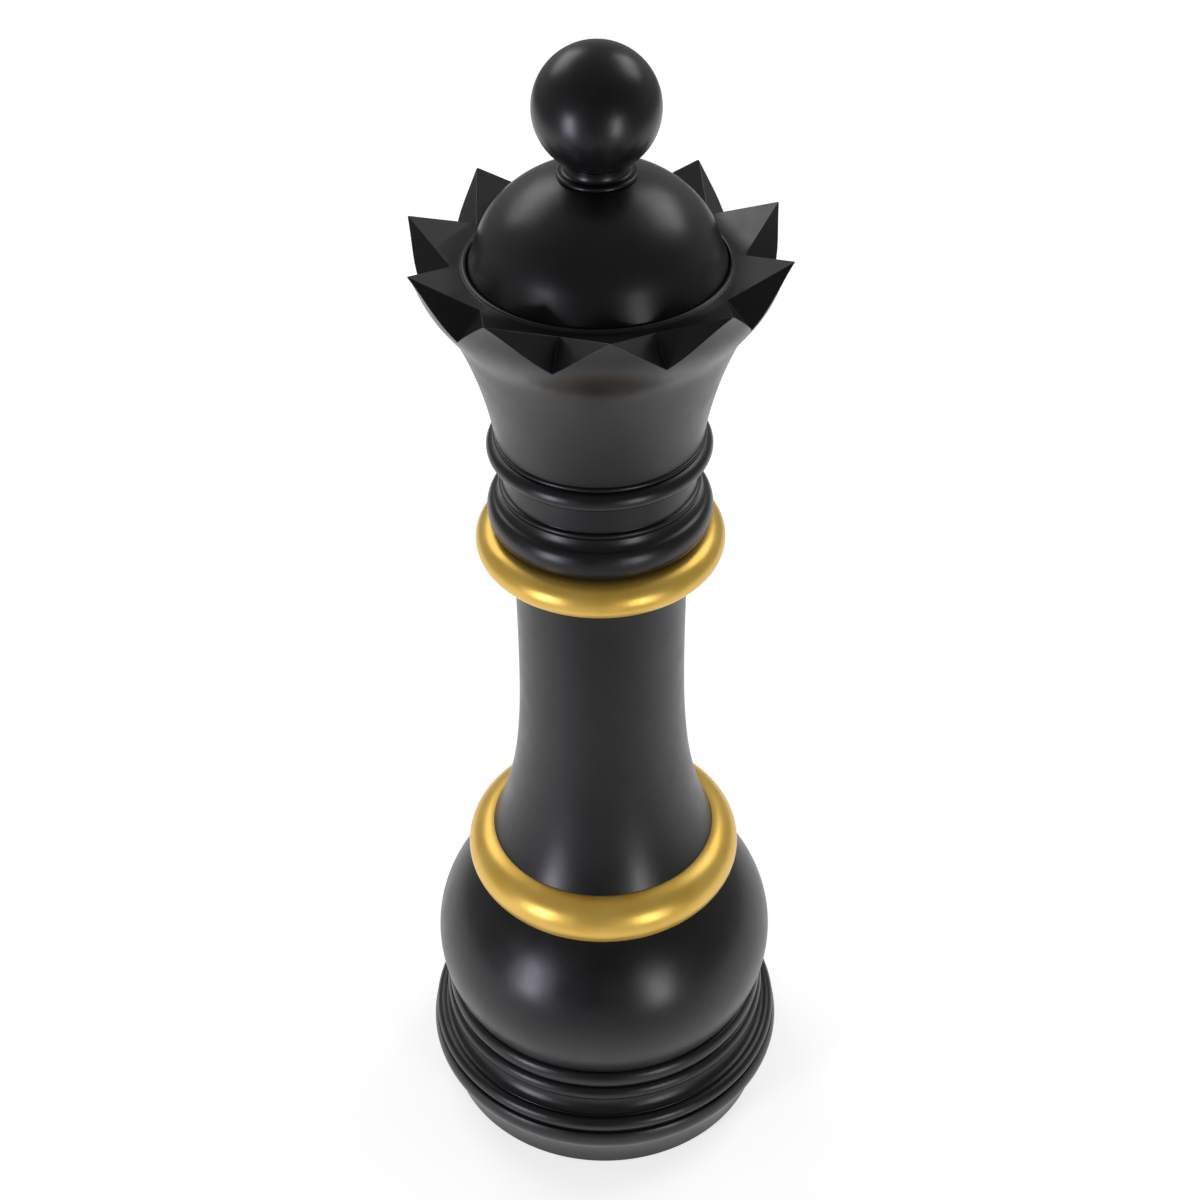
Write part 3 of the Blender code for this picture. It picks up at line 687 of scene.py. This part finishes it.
def screw_mesh(low: float, high: float, head: float, shank: float) -> Mesh:
    """A countersunk wood screw, head down, with a cross recess and a thread.

    Args:
        low: The level of the head's face.
        high: The level of the point.
        head: The head's radius.
        shank: The thread's outer radius.

    Returns:
        A closed mesh on the axis.
    """
    bm = bmesh.new()
    around = 24
    pitch = 1.6 * MM
    cone = 2.4 * MM
    levels = [(head * 0.55, low + 0.9 * MM, 0.0), (head * 0.60, low, 0.0), (head * 0.96, low, 0.0),
              (head, low + 0.15 * MM, 0.0), (head, low + 0.35 * MM, 0.0),
              (shank * 0.85, low + cone, 0.0)]
    count = 56
    for i in range(1, count + 1):
        z = low + cone + (high - 1.5 * MM - low - cone) * i / count
        levels.append((shank * 0.85, z, 1.0))
    levels.append((shank * 0.35, high - 0.4 * MM, 0.0))
    rings = []
    for radius, z, threaded in levels:
        ring = []
        for s in range(around):
            turn = 2 * math.pi * s / around
            phase = ((z - low) / pitch - s / around) % 1.0
            ridge = max(0.0, 1 - abs(phase - 0.5) * 4)
            r = radius * (0.86 + 0.30 * ridge) if threaded else radius
            if z <= low + 0.9 * MM and radius < head * 0.65:
                slot = abs(math.sin(2 * turn))
                r = radius * (1.0 if slot < 0.35 else 0.42)
            ring.append(bm.verts.new((*polar(min(r, head), turn), z)))
        rings.append(ring)
    start = bm.verts.new((0, 0, low + 1.1 * MM))
    end = bm.verts.new((0, 0, high))
    for s in range(around):
        n = (s + 1) % around
        bm.faces.new((start, rings[0][s], rings[0][n]))
        for a, b in zip(rings, rings[1:]):
            bm.faces.new((a[s], b[s], b[n], a[n]))
        bm.faces.new((end, rings[-1][n], rings[-1][s]))
    return closed_mesh(bm, "screw")


@dataclass
class BaseMouldings:
    """The plinth, the scotia with its bead, and the second bead that the bulb sits on."""

    plinth_out: float = 0.1400
    plinth_edge_start: float = -45.0
    scotia_foot: float = 0.1325
    scotia_height: float = 0.0125
    bead_edge: float = 0.1240
    bead_out: float = 0.1295
    seat_edge: float = 0.1220
    seat_out: float = 0.1275

    def build(self) -> None:
        """Builds the three mouldings."""
        low, high = cad_span("base_plinth")
        edge = (high - low) / 2
        rounded = arc((self.plinth_out - edge, low + edge), edge, edge, self.plinth_edge_start, 90)
        outline = Profile().to(ROD_BORE, high).to(ROD_BORE, low).to(rounded[0][0], low)
        outline.along(rounded, ease_first=0.4 * MM)
        turned("plinth_moulding", outline, 192, BLACK, "base_plinth")
        low, high = cad_span("base_bead")
        bead_low = low + self.scotia_height
        scotia = arc((self.scotia_foot, bead_low), self.scotia_foot - self.bead_edge,
                     self.scotia_height, 270, 180, 5)
        outline = bored(low, high)
        outline.along(scotia, ease_last=0.5 * MM)
        outline.along(bead(self.bead_edge, self.bead_out, bead_low, high)[1:])
        turned("base_double_bead", outline, 192, BLACK, "base_bead")
        low, high = cad_span("bulb_seat_ring")
        outline = bored(low, high).along(bead(self.seat_edge, self.seat_out, low, high))
        turned("seat_fillet", outline, 176, BLACK, "bulb_seat_ring")


@dataclass
class BulbAndColumn:
    """The bulb, the two gold rings and the column between them."""

    bulb_radius: float = 0.1327
    bulb_half_height: float = 0.1096
    bulb_equator: float = 0.0423
    lower_ring_centre: float = 0.0843
    lower_ring_section: float = 0.0204
    upper_ring_centre: float = 0.0742
    column_top: float = 0.0611
    column_foot: float = 0.0850
    column_taper: float = 0.0028
    flare_power: float = 4.4

    def build(self) -> None:
        """Builds the four sections."""
        self.build_bulb()
        self.build_lower_ring()
        self.build_column()
        low, high = cad_span("upper_gold_ring")
        half = (high - low) / 2
        outline = bored(low, high)
        outline.along(arc((self.upper_ring_centre, low + half), half, half, -90, 90, 5))
        turned("upper_ring_turning", outline, 160, GOLD, "upper_gold_ring")

    def build_bulb(self) -> None:
        """The bulb: an egg cut off above and below."""
        low, high = cad_span("bulb_body")
        rows = 44
        side = []
        for i in range(rows + 1):
            z = low + (high - low) * i / rows
            rise = (z - low - self.bulb_equator) / self.bulb_half_height
            side.append((self.bulb_radius * math.sqrt(1 - rise * rise), z))
        outline = bored(low, high)
        outline.along(side, ease_first=1.0 * MM, ease_last=0.6 * MM)
        turned("bulb_turning", outline, 192, BLACK, "bulb_body")

    def build_lower_ring(self) -> None:
        """The large gold bead that the column stands on."""
        low, high = cad_span("lower_gold_ring")
        centre = high - self.lower_ring_section
        start = -math.degrees(math.asin((centre - low) / self.lower_ring_section))
        outline = bored(low, high)
        outline.along(arc((self.lower_ring_centre, centre), self.lower_ring_section,
                          self.lower_ring_section, start, 90, 4), ease_first=0.5 * MM)
        turned("lower_ring_turning", outline, 176, GOLD, "lower_gold_ring")

    def build_column(self) -> None:
        """The column: almost straight, then flared out to its foot."""
        low, high = cad_span("column")
        rows = 60
        side = []
        for i in range(rows + 1):
            t = 1 - i / rows
            flare = self.column_foot - self.column_top + self.column_taper
            side.append((self.column_top - self.column_taper * t + flare * t**self.flare_power,
                         high - (high - low) * t))
        outline = bored(low, high)
        outline.along(side, ease_first=0.6 * MM, ease_last=0.8 * MM)
        turned("column_turning", outline, 160, BLACK, "column")


@dataclass
class Neck:
    """The cushion, the plain band and the bead under the crown."""

    cushion_foot: float = 0.0698
    cushion_out: float = 0.0780
    cushion_bulge: float = 0.0145
    cushion_upper: float = 0.0105
    cushion_shoulder: float = 0.0710
    cushion_top: float = 0.0688
    band_radius: float = 0.0671
    band_fillet_out: float = 0.0697
    band_fillet_height: float = 0.0034
    bead_centre: float = 0.0698
    fillet_in: float = 0.0700
    fillet_out: float = 0.0724
    fillet_height: float = 0.0034

    def build(self) -> None:
        """Builds the three neck pieces."""
        self.build_cushion()
        self.build_band()
        self.build_bead()

    def build_cushion(self) -> None:
        """The cushion: a full bulge low down, hollowed above up to a narrow top."""
        low, high = cad_span("neck_cushion")
        bulge = low + self.cushion_bulge
        outline = bored(low, high)
        outline.along(arc((self.cushion_foot, bulge), self.cushion_out - self.cushion_foot,
                          self.cushion_bulge, -90, 0))
        upper = arc((self.cushion_shoulder, bulge), self.cushion_out - self.cushion_shoulder,
                    self.cushion_upper, 0, 66)
        start = upper[-1]
        pull = (self.cushion_top + 1.2 * MM, start[1] + 1.2 * MM)
        hollow = [bezier(start, pull, (self.cushion_top, high), i / 8) for i in range(1, 9)]
        outline.along(upper[1:]).along(hollow)
        turned("cushion_turning", outline, 160, BLACK, "neck_cushion")

    def build_band(self) -> None:
        """The plain band, with a small fillet at its foot."""
        low, high = cad_span("neck_band")
        half = self.band_fillet_height / 2
        outline = bored(low, high)
        outline.along(arc((self.band_fillet_out - half, low + half), half, half, -80, 70, 12),
                      ease_last=0.4 * MM)
        outline.to(self.band_radius, low + self.band_fillet_height + 0.5 * MM, 0.4 * MM)
        outline.to(self.band_radius, high, 0.5 * MM)
        turned("band_turning", outline, 144, BLACK, "neck_band")

    def build_bead(self) -> None:
        """The bead under the crown, with a thin fillet that laps the crown's foot."""
        low, high = cad_span("neck_bead")
        small = self.fillet_height / 2
        outline = bored(low, high)
        outline.along(bead(self.bead_centre, cad_out("neck_bead"), low, high, end=80))
        outline.along(arc((self.fillet_out - small, high + small), small, small, -70, 90, 14),
                      ease_first=0.3 * MM)
        outline.to(self.fillet_in, high + self.fillet_height).to(self.fillet_in, high)
        turned("neck_bead_turning", outline, 160, BLACK, "neck_bead")


def cad_out(name: str) -> float:
    """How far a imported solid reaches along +X."""
    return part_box(name)[1][0]


@dataclass
class Crown:
    """The flared crown: a fair curve outside and ten flat-topped points with V notches between."""

    points: int = 10
    halves: int = 8
    rows: int = 30
    foot_radius: float = 0.0705
    foot_slope: float = 0.125
    tip_radius: float = 0.1265
    tip_rise: float = 0.1464
    notch_rise: float = 0.1142
    rim_rise: float = 0.1301
    swell: float = 0.0047
    swell_start: float = 0.58
    inner_notch: float = 0.0941
    lip_outer: float = 0.0874
    lip_bore: float = 0.0840
    lip_height: float = 0.0015
    ledge_depth: float = 0.0155
    pocket_radius: float = 0.0240
    pocket_depth: float = 0.0170
    edge_width: float = 0.0013

    def radius(self, rise: float) -> float:
        """The outer radius at a height above the crown's foot."""
        t = rise / self.tip_rise
        straight = self.foot_slope * self.tip_rise
        reach = max(t - self.swell_start, 0.0) / (1 - self.swell_start)
        swell = self.swell * math.sin(math.pi * reach) ** 2
        curve = (self.tip_radius - self.foot_radius - straight) * t * t
        return self.foot_radius + straight * t + curve + swell

    def build(self, ring: RingArray) -> None:
        """Builds one point's sector, repeats it round the axis and eases every edge."""
        base = cad_span("crown")[0]
        mesh = ring.mesh(self.sector(base), self.points, -math.pi / 2, 2e-5, BLACK)
        carrier = placed("crown_carrier", mesh)
        bm = bmesh.new()
        bm.from_mesh(mesh)
        bmesh.ops.recalc_face_normals(bm, faces=bm.faces)
        bm.to_mesh(mesh)
        bm.free()
        mesh.shade_smooth()
        bevel = carrier.modifiers.new("ease", "BEVEL")
        bevel.limit_method = "ANGLE"
        bevel.angle_limit = math.radians(24)
        bevel.width = self.edge_width
        bevel.segments = 3
        bevel.harden_normals = True
        bevel.use_clamp_overlap = True
        eased = baked(carrier)
        bpy.data.objects.remove(carrier, do_unlink=True)
        show("crown_turning", eased, BLACK, Body.PIECE, ["crown"])

    def sector(self, base: float) -> Mesh:
        """One point's share of the crown, its tip on +X.

        Args:
            base: The level of the crown's foot.

        Returns:
            An open strip that joins up with its neighbours.
        """
        bm = bmesh.new()
        columns = 2 * self.halves
        half_angle = math.pi / self.points
        angles = [half_angle * (2 * i / columns - 1) for i in range(columns + 1)]
        top = base + self.rim_rise

        def ring_at(radius: float, z: float) -> list[Vert]:
            """A row of vertices across the sector at one radius and level."""
            return [bm.verts.new((*polar(radius, a), z)) for a in angles]

        flare = []
        for row in range(self.rows + 1):
            strip = []
            for a in angles:
                edge = self.tip_rise + (self.notch_rise - self.tip_rise) * abs(a) / half_angle
                rise = edge * row / self.rows
                strip.append(bm.verts.new((*polar(self.radius(rise), a), base + rise)))
            flare.append(strip)
        for low, high in zip(flare, flare[1:]):
            self.bridge(bm, low, high)
        edge = flare[-1]
        tip = edge[self.halves]
        margin = self.margin(bm, angles, top)
        lines = {}
        for side, corner in ((-1, margin[0]), (1, margin[-1])):
            line = [tip]
            for i in range(1, self.halves):
                share = i / self.halves
                line.append(bm.verts.new(tip.co.lerp(corner.co, share)))
            line.append(corner)
            lines[side] = line
            rim = [edge[self.halves + side * i] for i in range(self.halves + 1)]
            for i in range(self.halves):
                quad = [line[i], line[i + 1], rim[i + 1], rim[i]]
                unique = list(dict.fromkeys(quad))
                bm.faces.new(unique if side > 0 else unique[::-1])
        facet = lines[-1][:-1] + margin + lines[1][-2:0:-1]
        bm.faces.new(facet)
        last = margin
        for radius, z in self.inside(top):
            ring = ring_at(radius, z)
            self.bridge(bm, last, ring)
            last = ring
        self.bridge(bm, last, flare[0])
        mesh = bpy.data.meshes.new("crown_sector")
        bm.to_mesh(mesh)
        bm.free()
        return mesh

    def margin(self, bm: bmesh.types.BMesh, angles: Sequence[float], top: float) -> list[Vert]:
        """The line between two notches, level with the rim, where a point's top facet begins."""
        chord = self.inner_notch * math.cos(angles[-1])
        return [bm.verts.new((chord, chord * math.tan(a), top)) for a in angles]

    def inside(self, top: float) -> list[Point]:
        """The rim's lip, the well for the dome, the nut's pocket and the bore, from outside in."""
        half = (self.lip_outer - self.lip_bore) / 2
        path = [(self.lip_outer, top)]
        path += [(self.lip_bore + half + half * math.cos(a), top + self.lip_height * math.sin(a))
                 for a in (math.radians(d) for d in range(18, 180, 18))]
        path += [(self.lip_bore, top), (self.lip_bore, top - self.ledge_depth)]
        floor = top - self.ledge_depth - self.pocket_depth
        path += [(self.pocket_radius, top - self.ledge_depth), (self.pocket_radius, floor)]
        path += [(ROD_BORE, floor), (ROD_BORE, cad_span("crown")[0])]
        return path

    @staticmethod
    def bridge(bm: bmesh.types.BMesh, low: Sequence[Vert], high: Sequence[Vert]) -> None:
        """Fills the strip between two rows with quads."""
        for i in range(len(low) - 1):
            bm.faces.new((low[i], low[i + 1], high[i + 1], high[i]))


@dataclass
class Dome:
    """The dome in the crown's well, and the seal under it."""

    foot: float = 0.0835
    rise: float = 0.0640
    rim_rise: float = 0.1301
    skirt_angle: float = 16.0
    seal_bore: float = 0.0600

    def build(self) -> None:
        """Builds the dome and the seal."""
        rim = cad_span("crown")[0] + self.rim_rise
        low = cad_span("dome_cap")[0]
        radius = self.foot * math.cos(math.radians(self.skirt_angle))
        end = math.degrees(math.acos(ROD_BORE / radius))
        outline = Profile().to(ROD_BORE, low)
        outline.to(self.foot, low, 0.5 * MM).to(self.foot, rim, 0.6 * MM)
        outline.along(arc((0.0, rim), radius, self.rise, self.skirt_angle, end, 2.5))
        turned("dome_turning", outline, 160, BLACK, "dome_cap")
        low, high = cad_span("dome_gasket")
        outline = Profile().to(self.seal_bore, high, 0.4 * MM).to(self.seal_bore, low, 0.4 * MM)
        outline.to(self.foot, low, 0.5 * MM).to(self.foot, high, 0.5 * MM)
        turned("dome_seal", outline, 120, RUBBER, "dome_gasket")


@dataclass
class Finial:
    """The ball, the brass insert in it and the collar below it."""

    ball_radius: float = 0.0402
    collar_bore: float = 0.0115
    lip_radius: float = 0.0259
    lip_height: float = 0.0034
    waist: float = 0.0198
    seat_edge: float = 0.0207
    gap: float = 0.0003
    dome_radius: float = 0.08027
    ball_rise: float = 0.0416       # from the dome's crown to the ball's centre
    thread: float = 0.0063
    dome_rise: float = 0.0640

    def build(self) -> None:
        """Builds the collar, the ball and the insert."""
        ball_high = cad_span("finial_ball")[1]
        centre = ball_high - self.ball_radius
        self.build_collar(centre)
        insert_low, insert_high = cad_span("finial_insert")
        hole = cad_out("finial_insert") + self.gap
        start = -math.degrees(math.acos(hole / self.ball_radius))
        roof = insert_high + self.gap
        outline = Profile(closed=False).to(0, roof).to(hole, roof)
        outline.along(arc((0.0, centre), self.ball_radius, self.ball_radius, start, 90, 2.5),
                      ease_first=0.5 * MM)
        points = outline.outline()
        points[-1] = (0.0, ball_high)
        mesh = turned_mesh("finial_ball_turning", points, 128)
        show("finial_ball_turning", mesh, BLACK, Body.BALL, ["finial_ball"])
        radius = cad_out("finial_insert")
        outline = Profile(closed=False).to(0, insert_high - 3 * MM)
        outline.to(self.thread, insert_high - 3 * MM).to(self.thread, insert_low, 0.4 * MM)
        outline.to(radius, insert_low, 0.5 * MM).to(radius, insert_high, 0.5 * MM)
        outline.to(0, insert_high)
        turned("threaded_insert", outline, 72, BRASS, "finial_insert", Body.BALL)

    def build_collar(self, centre: float) -> None:
        """The collar: a rounded lip on the dome and a waisted neck up to the ball."""
        rim = centre - self.ball_rise - self.dome_rise
        seat = self.ball_radius + self.gap

        def dome_height(radius: float) -> float:
            """The level just clear of the dome at a radius."""
            return rim + self.dome_rise * math.sqrt(1 - (radius / self.dome_radius) ** 2) + self.gap

        steps = 6
        under = []
        for i in range(steps):
            r = self.collar_bore + (self.lip_radius - self.collar_bore) * i / steps
            under.append((r, dome_height(r)))
        lip_low = dome_height(self.lip_radius)
        half = self.lip_height / 2
        lip = arc((self.lip_radius - half, lip_low + half), half, half, -70, 90, 12)
        top = centre - math.sqrt(seat**2 - self.seat_edge**2)
        neck_low = lip_low + self.lip_height
        pull = (self.waist - 0.5 * MM, neck_low + 0.8 * MM)
        neck = [bezier((self.waist + 2.2 * MM, neck_low), pull, (self.seat_edge, top), i / 10)
                for i in range(11)]
        dish = []
        for i in range(1, steps + 1):
            r = self.seat_edge + (self.collar_bore - self.seat_edge) * i / steps
            dish.append((r, centre - math.sqrt(seat**2 - r**2)))
        outline = Profile().along(under).along(lip).along(neck, ease_last=0.4 * MM).along(dish)
        turned("finial_collar_turning", outline, 112, BLACK, "finial_collar", Body.COLLAR)


@dataclass
class TieRod:
    """The tie rod, threaded at both ends, with its washers and nuts."""

    radius: float = 0.0060
    pitch: float = 0.00175
    depth: float = 0.00085
    top_thread: float = 0.060
    low_thread: float = 0.030
    rows_per_turn: int = 8
    around: int = 28
    flats: float = 0.0180
    bore: float = 0.0063

    def build(self) -> None:
        """Builds the rod, the washers and the nuts."""
        show("threaded_rod", self.rod_mesh(), ZINC, Body.PIECE, ["tie_rod"])
        for name in ("base_washer", "crown_washer"):
            low, high = cad_span(name)
            out = cad_out(name)
            outline = Profile().to(self.bore, high, 0.3 * MM).to(self.bore, low, 0.3 * MM)
            outline.to(out, low, 0.4 * MM).to(out, high, 0.8 * MM)
            show(name + "_disc", turned_mesh(name, outline.outline(), 64), ZINC, Body.PIECE, [name])
        for name in ("base_nut", "crown_nut"):
            show(name + "_hexagon", self.nut_mesh(name), ZINC, Body.PIECE, [name])

    def ridge(self, z: float, turn: float) -> float:
        """How deep the thread's groove is at a level and an angle, from 0 to 1."""
        phase = (z / self.pitch - turn / (2 * math.pi)) % 1.0
        return min(1.0, max(0.0, 1.15 - abs(phase - 0.5) * 2.6))

    def rod_mesh(self) -> Mesh:
        """The rod: a helical groove cut in each end, plain between, chamfered at both ends."""
        low, high = cad_span("tie_rod")
        step = self.pitch / self.rows_per_turn
        levels = [low + 0.8 * MM + step * i for i in range(int(self.low_thread / step))]
        plain_low = levels[-1] + 2 * MM
        tops = [high - 0.8 * MM - step * i for i in range(int(self.top_thread / step))][::-1]
        plain_high = tops[0] - 2 * MM
        bm = bmesh.new()
        rings = [self.ring(bm, self.radius - self.depth, low, False)]
        rings += [self.ring(bm, self.radius, z, True) for z in levels]
        rings += [self.ring(bm, self.radius - 0.2 * MM, z, False) for z in (plain_low, plain_high)]
        rings += [self.ring(bm, self.radius, z, True) for z in tops]
        rings += [self.ring(bm, self.radius - self.depth, high, False)]
        skin(bm, zip(rings, rings[1:]))
        bm.faces.new(rings[0][::-1])
        bm.faces.new(rings[-1])
        mesh = closed_mesh(bm, "threaded_rod")
        mesh.set_sharp_from_angle(angle=math.radians(50))
        return mesh

    def ring(self, bm: bmesh.types.BMesh, radius: float, z: float, cut: bool) -> list[Vert]:
        """One ring of vertices, with the thread's groove taken off where it is cut."""
        ring = []
        for s in range(self.around):
            turn = 2 * math.pi * s / self.around
            r = radius - (self.depth * self.ridge(z, turn) if cut else 0.0)
            ring.append(bm.verts.new((*polar(r, turn), z)))
        return ring

    def nut_mesh(self, name: str) -> Mesh:
        """A hexagon nut, its corners turned off to a cone at both ends."""
        low, high = cad_span(name)
        flat = self.flats / 2
        corner = flat / math.cos(math.pi / 6)
        bm = bmesh.new()
        around = 72
        rings = []
        face = flat * 0.98
        drop = (corner - face) * 0.55
        for radius, z in ((self.bore, low), (face, low), (corner, low + drop),
                          (corner, high - drop), (face, high), (self.bore, high)):
            ring = []
            for s in range(around):
                turn = 2 * math.pi * s / around
                reach = flat / math.cos(turn % (math.pi / 3) - math.pi / 6)
                ring.append(bm.verts.new((*polar(min(radius, reach), turn), z)))
            rings.append(ring)
        skin(bm, zip(rings, rings[1:] + rings[:1]))
        mesh = closed_mesh(bm, name)
        mesh.set_sharp_from_angle(angle=math.radians(25))
        return mesh


# ------------------------------------------------------------------ studio
@dataclass
class Studio:
    """The pale floor, the surroundings, the soft lights and the camera."""

    floor_half: float = 9.0
    floor_glow: float = 0.64
    height: float = 0.90
    lens: float = 64.36
    camera_place: tuple[float, float, float] = (-0.0789, -1.3322, 1.5952)
    camera_pitch: float = 38.553
    camera_heading: float = 3.35
    camera_roll: float = -0.56

    def build(self) -> None:
        """Builds the studio round the piece."""
        self.build_floor()
        self.build_world()
        low, high = (0.42, 0.95), (1.8, 1.2)
        self.soft_box("front_left", -140, 1.9, 0.47, low, 17, "eeecff")
        self.soft_box("front_right", -60, 1.9, 0.47, low, 9.5, "ffffff")
        self.soft_box("back_left", 125, 2.4, 2.4, high, 20, "ffffff")
        self.soft_box("back_right", 35, 2.4, 2.7, high, 24, "ffffff")
        self.build_camera()
        view = bpy.context.scene.view_settings
        view.view_transform = "Standard"
        view.look = "None"
        view.exposure = 0.0

    def build_floor(self) -> None:
        """A wide sheet of studio paper, lit a little from within so that it reads as white: a
        painted glow, strongest near and behind the piece and none in front.
        """
        bm = bmesh.new()
        bmesh.ops.create_grid(bm, x_segments=8, y_segments=8, size=self.floor_half)
        mesh = bpy.data.meshes.new("studio_floor")
        bm.to_mesh(mesh)
        bm.free()
        material = PAPER.material()
        shader = material.node_tree.nodes["Principled BSDF"]
        tree = material.node_tree
        place = node(tree, "ShaderNodeTexCoord")
        parts = node(tree, "ShaderNodeSeparateXYZ", {}, {"Vector": place.outputs["Object"]})
        # Painted light: the paper's glow is none in front of the piece, rises towards it and fades
        # out far behind.
        front = node(tree, "ShaderNodeMapRange",
                     {"interpolation_type": "SMOOTHSTEP", "in:From Min": -0.62,
                      "in:From Max": -0.14, "in:To Min": 0.0, "in:To Max": self.floor_glow},
                     {"Value": parts.outputs["Y"]})
        away = node(tree, "ShaderNodeVectorMath",
                    {"operation": "DISTANCE", "in:1": (0.0, 1.0, 0.0)},
                    {0: place.outputs["Object"]})
        glow = node(tree, "ShaderNodeMapRange",
                    {"interpolation_type": "SMOOTHSTEP", "in:From Min": 1.5, "in:From Max": 2.6},
                    {"Value": away.outputs["Value"], "To Min": front.outputs["Result"]})
        glow.inputs["To Max"].default_value = 0.0
        shader.inputs["Emission Color"].default_value = (1, 1, 1, 1)
        tree.links.new(glow.outputs["Result"], shader.inputs["Emission Strength"])
        mesh.materials.append(material)
        floor = placed("studio_floor", mesh)

    def build_world(self) -> None:
        """Grey surroundings, a little dimmer overhead and dimmest in front."""
        world = bpy.data.worlds.new("surroundings")
        world.use_nodes = True
        tree = world.node_tree
        tree.nodes.clear()
        place = node(tree, "ShaderNodeTexCoord")
        parts = node(tree, "ShaderNodeSeparateXYZ", {}, {"Vector": place.outputs["Generated"]})
        ramp = node(tree, "ShaderNodeValToRGB", {}, {"Fac": parts.outputs["Z"]})
        ramp.color_ramp.interpolation = "EASE"
        first, second = ramp.color_ramp.elements
        first.position = 0.0
        first.color = (0.38, 0.38, 0.38, 1)
        second.position = 0.75
        second.color = (0.30, 0.30, 0.30, 1)
        middle = ramp.color_ramp.elements.new(0.30)
        middle.color = (0.34, 0.34, 0.34, 1)
        front = node(tree, "ShaderNodeMapRange",
                     {"in:From Min": -0.9, "in:From Max": 0.2, "in:To Min": 0.30, "in:To Max": 1.0},
                     {"Value": parts.outputs["Y"]})
        back = node(tree, "ShaderNodeBackground", {},
                    {"Color": ramp.outputs["Color"], "Strength": front.outputs["Result"]})
        node(tree, "ShaderNodeOutputWorld", {}, {"Surface": back.outputs[0]})
        bpy.context.scene.world = world

    def soft_box(self, name: str, azimuth: float, distance: float, height: float, size: Point,
                 power: float, tint: str) -> None:
        """A soft box that faces the piece.

        Args:
            name: Its name.
            azimuth: Its direction round the piece, in degrees from +X.
            distance: How far it is from the axis.
            height: Its centre's height.
            size: Its width and height.
            power: Its power in watts.
            tint: Its colour.
        """
        lamp = bpy.data.lights.new(name, "AREA")
        lamp.shape = "RECTANGLE"
        lamp.size, lamp.size_y = size
        lamp.energy = power
        lamp.color = linear(tint)[:3]
        obj = placed(name, lamp)
        obj.visible_camera = False
        x, y = polar(distance, math.radians(azimuth))
        obj.location = (x, y, height)
        aim = Vector((0, 0, 0.5)) - obj.location
        obj.rotation_euler = aim.to_track_quat("-Z", "Y").to_euler()

    def build_camera(self) -> None:
        """The camera, looking down on the piece from the front."""
        lens = bpy.data.cameras.new("camera")
        lens.lens = self.lens
        lens.sensor_width = 36
        camera = placed("camera", lens)
        pitch = math.radians(self.camera_pitch)
        heading = math.radians(self.camera_heading)
        roll = math.radians(self.camera_roll)
        ahead = Vector((math.sin(heading) * math.cos(pitch), math.cos(heading) * math.cos(pitch),
                        -math.sin(pitch)))
        right = Vector((math.cos(heading), -math.sin(heading), 0))
        up = right.cross(ahead)
        across = math.cos(roll) * right + math.sin(roll) * up
        upward = -math.sin(roll) * right + math.cos(roll) * up
        turn = Matrix((across, upward, -ahead)).transposed().to_4x4()
        camera.matrix_world = Matrix.Translation(Vector(self.camera_place) * self.height) @ turn
        bpy.context.scene.camera = camera


def main() -> None:
    """Builds the piece from the ground up, then the studio."""
    logging.basicConfig(level=logging.INFO, format="%(name)s: %(message)s")
    ring = RingArray()
    Foot().build(ring)
    BaseMouldings().build()
    BulbAndColumn().build()
    Neck().build()
    Crown().build(ring)
    Dome().build()
    Finial().build()
    TieRod().build()
    Studio().build()


if __name__ == "__main__":
    main()
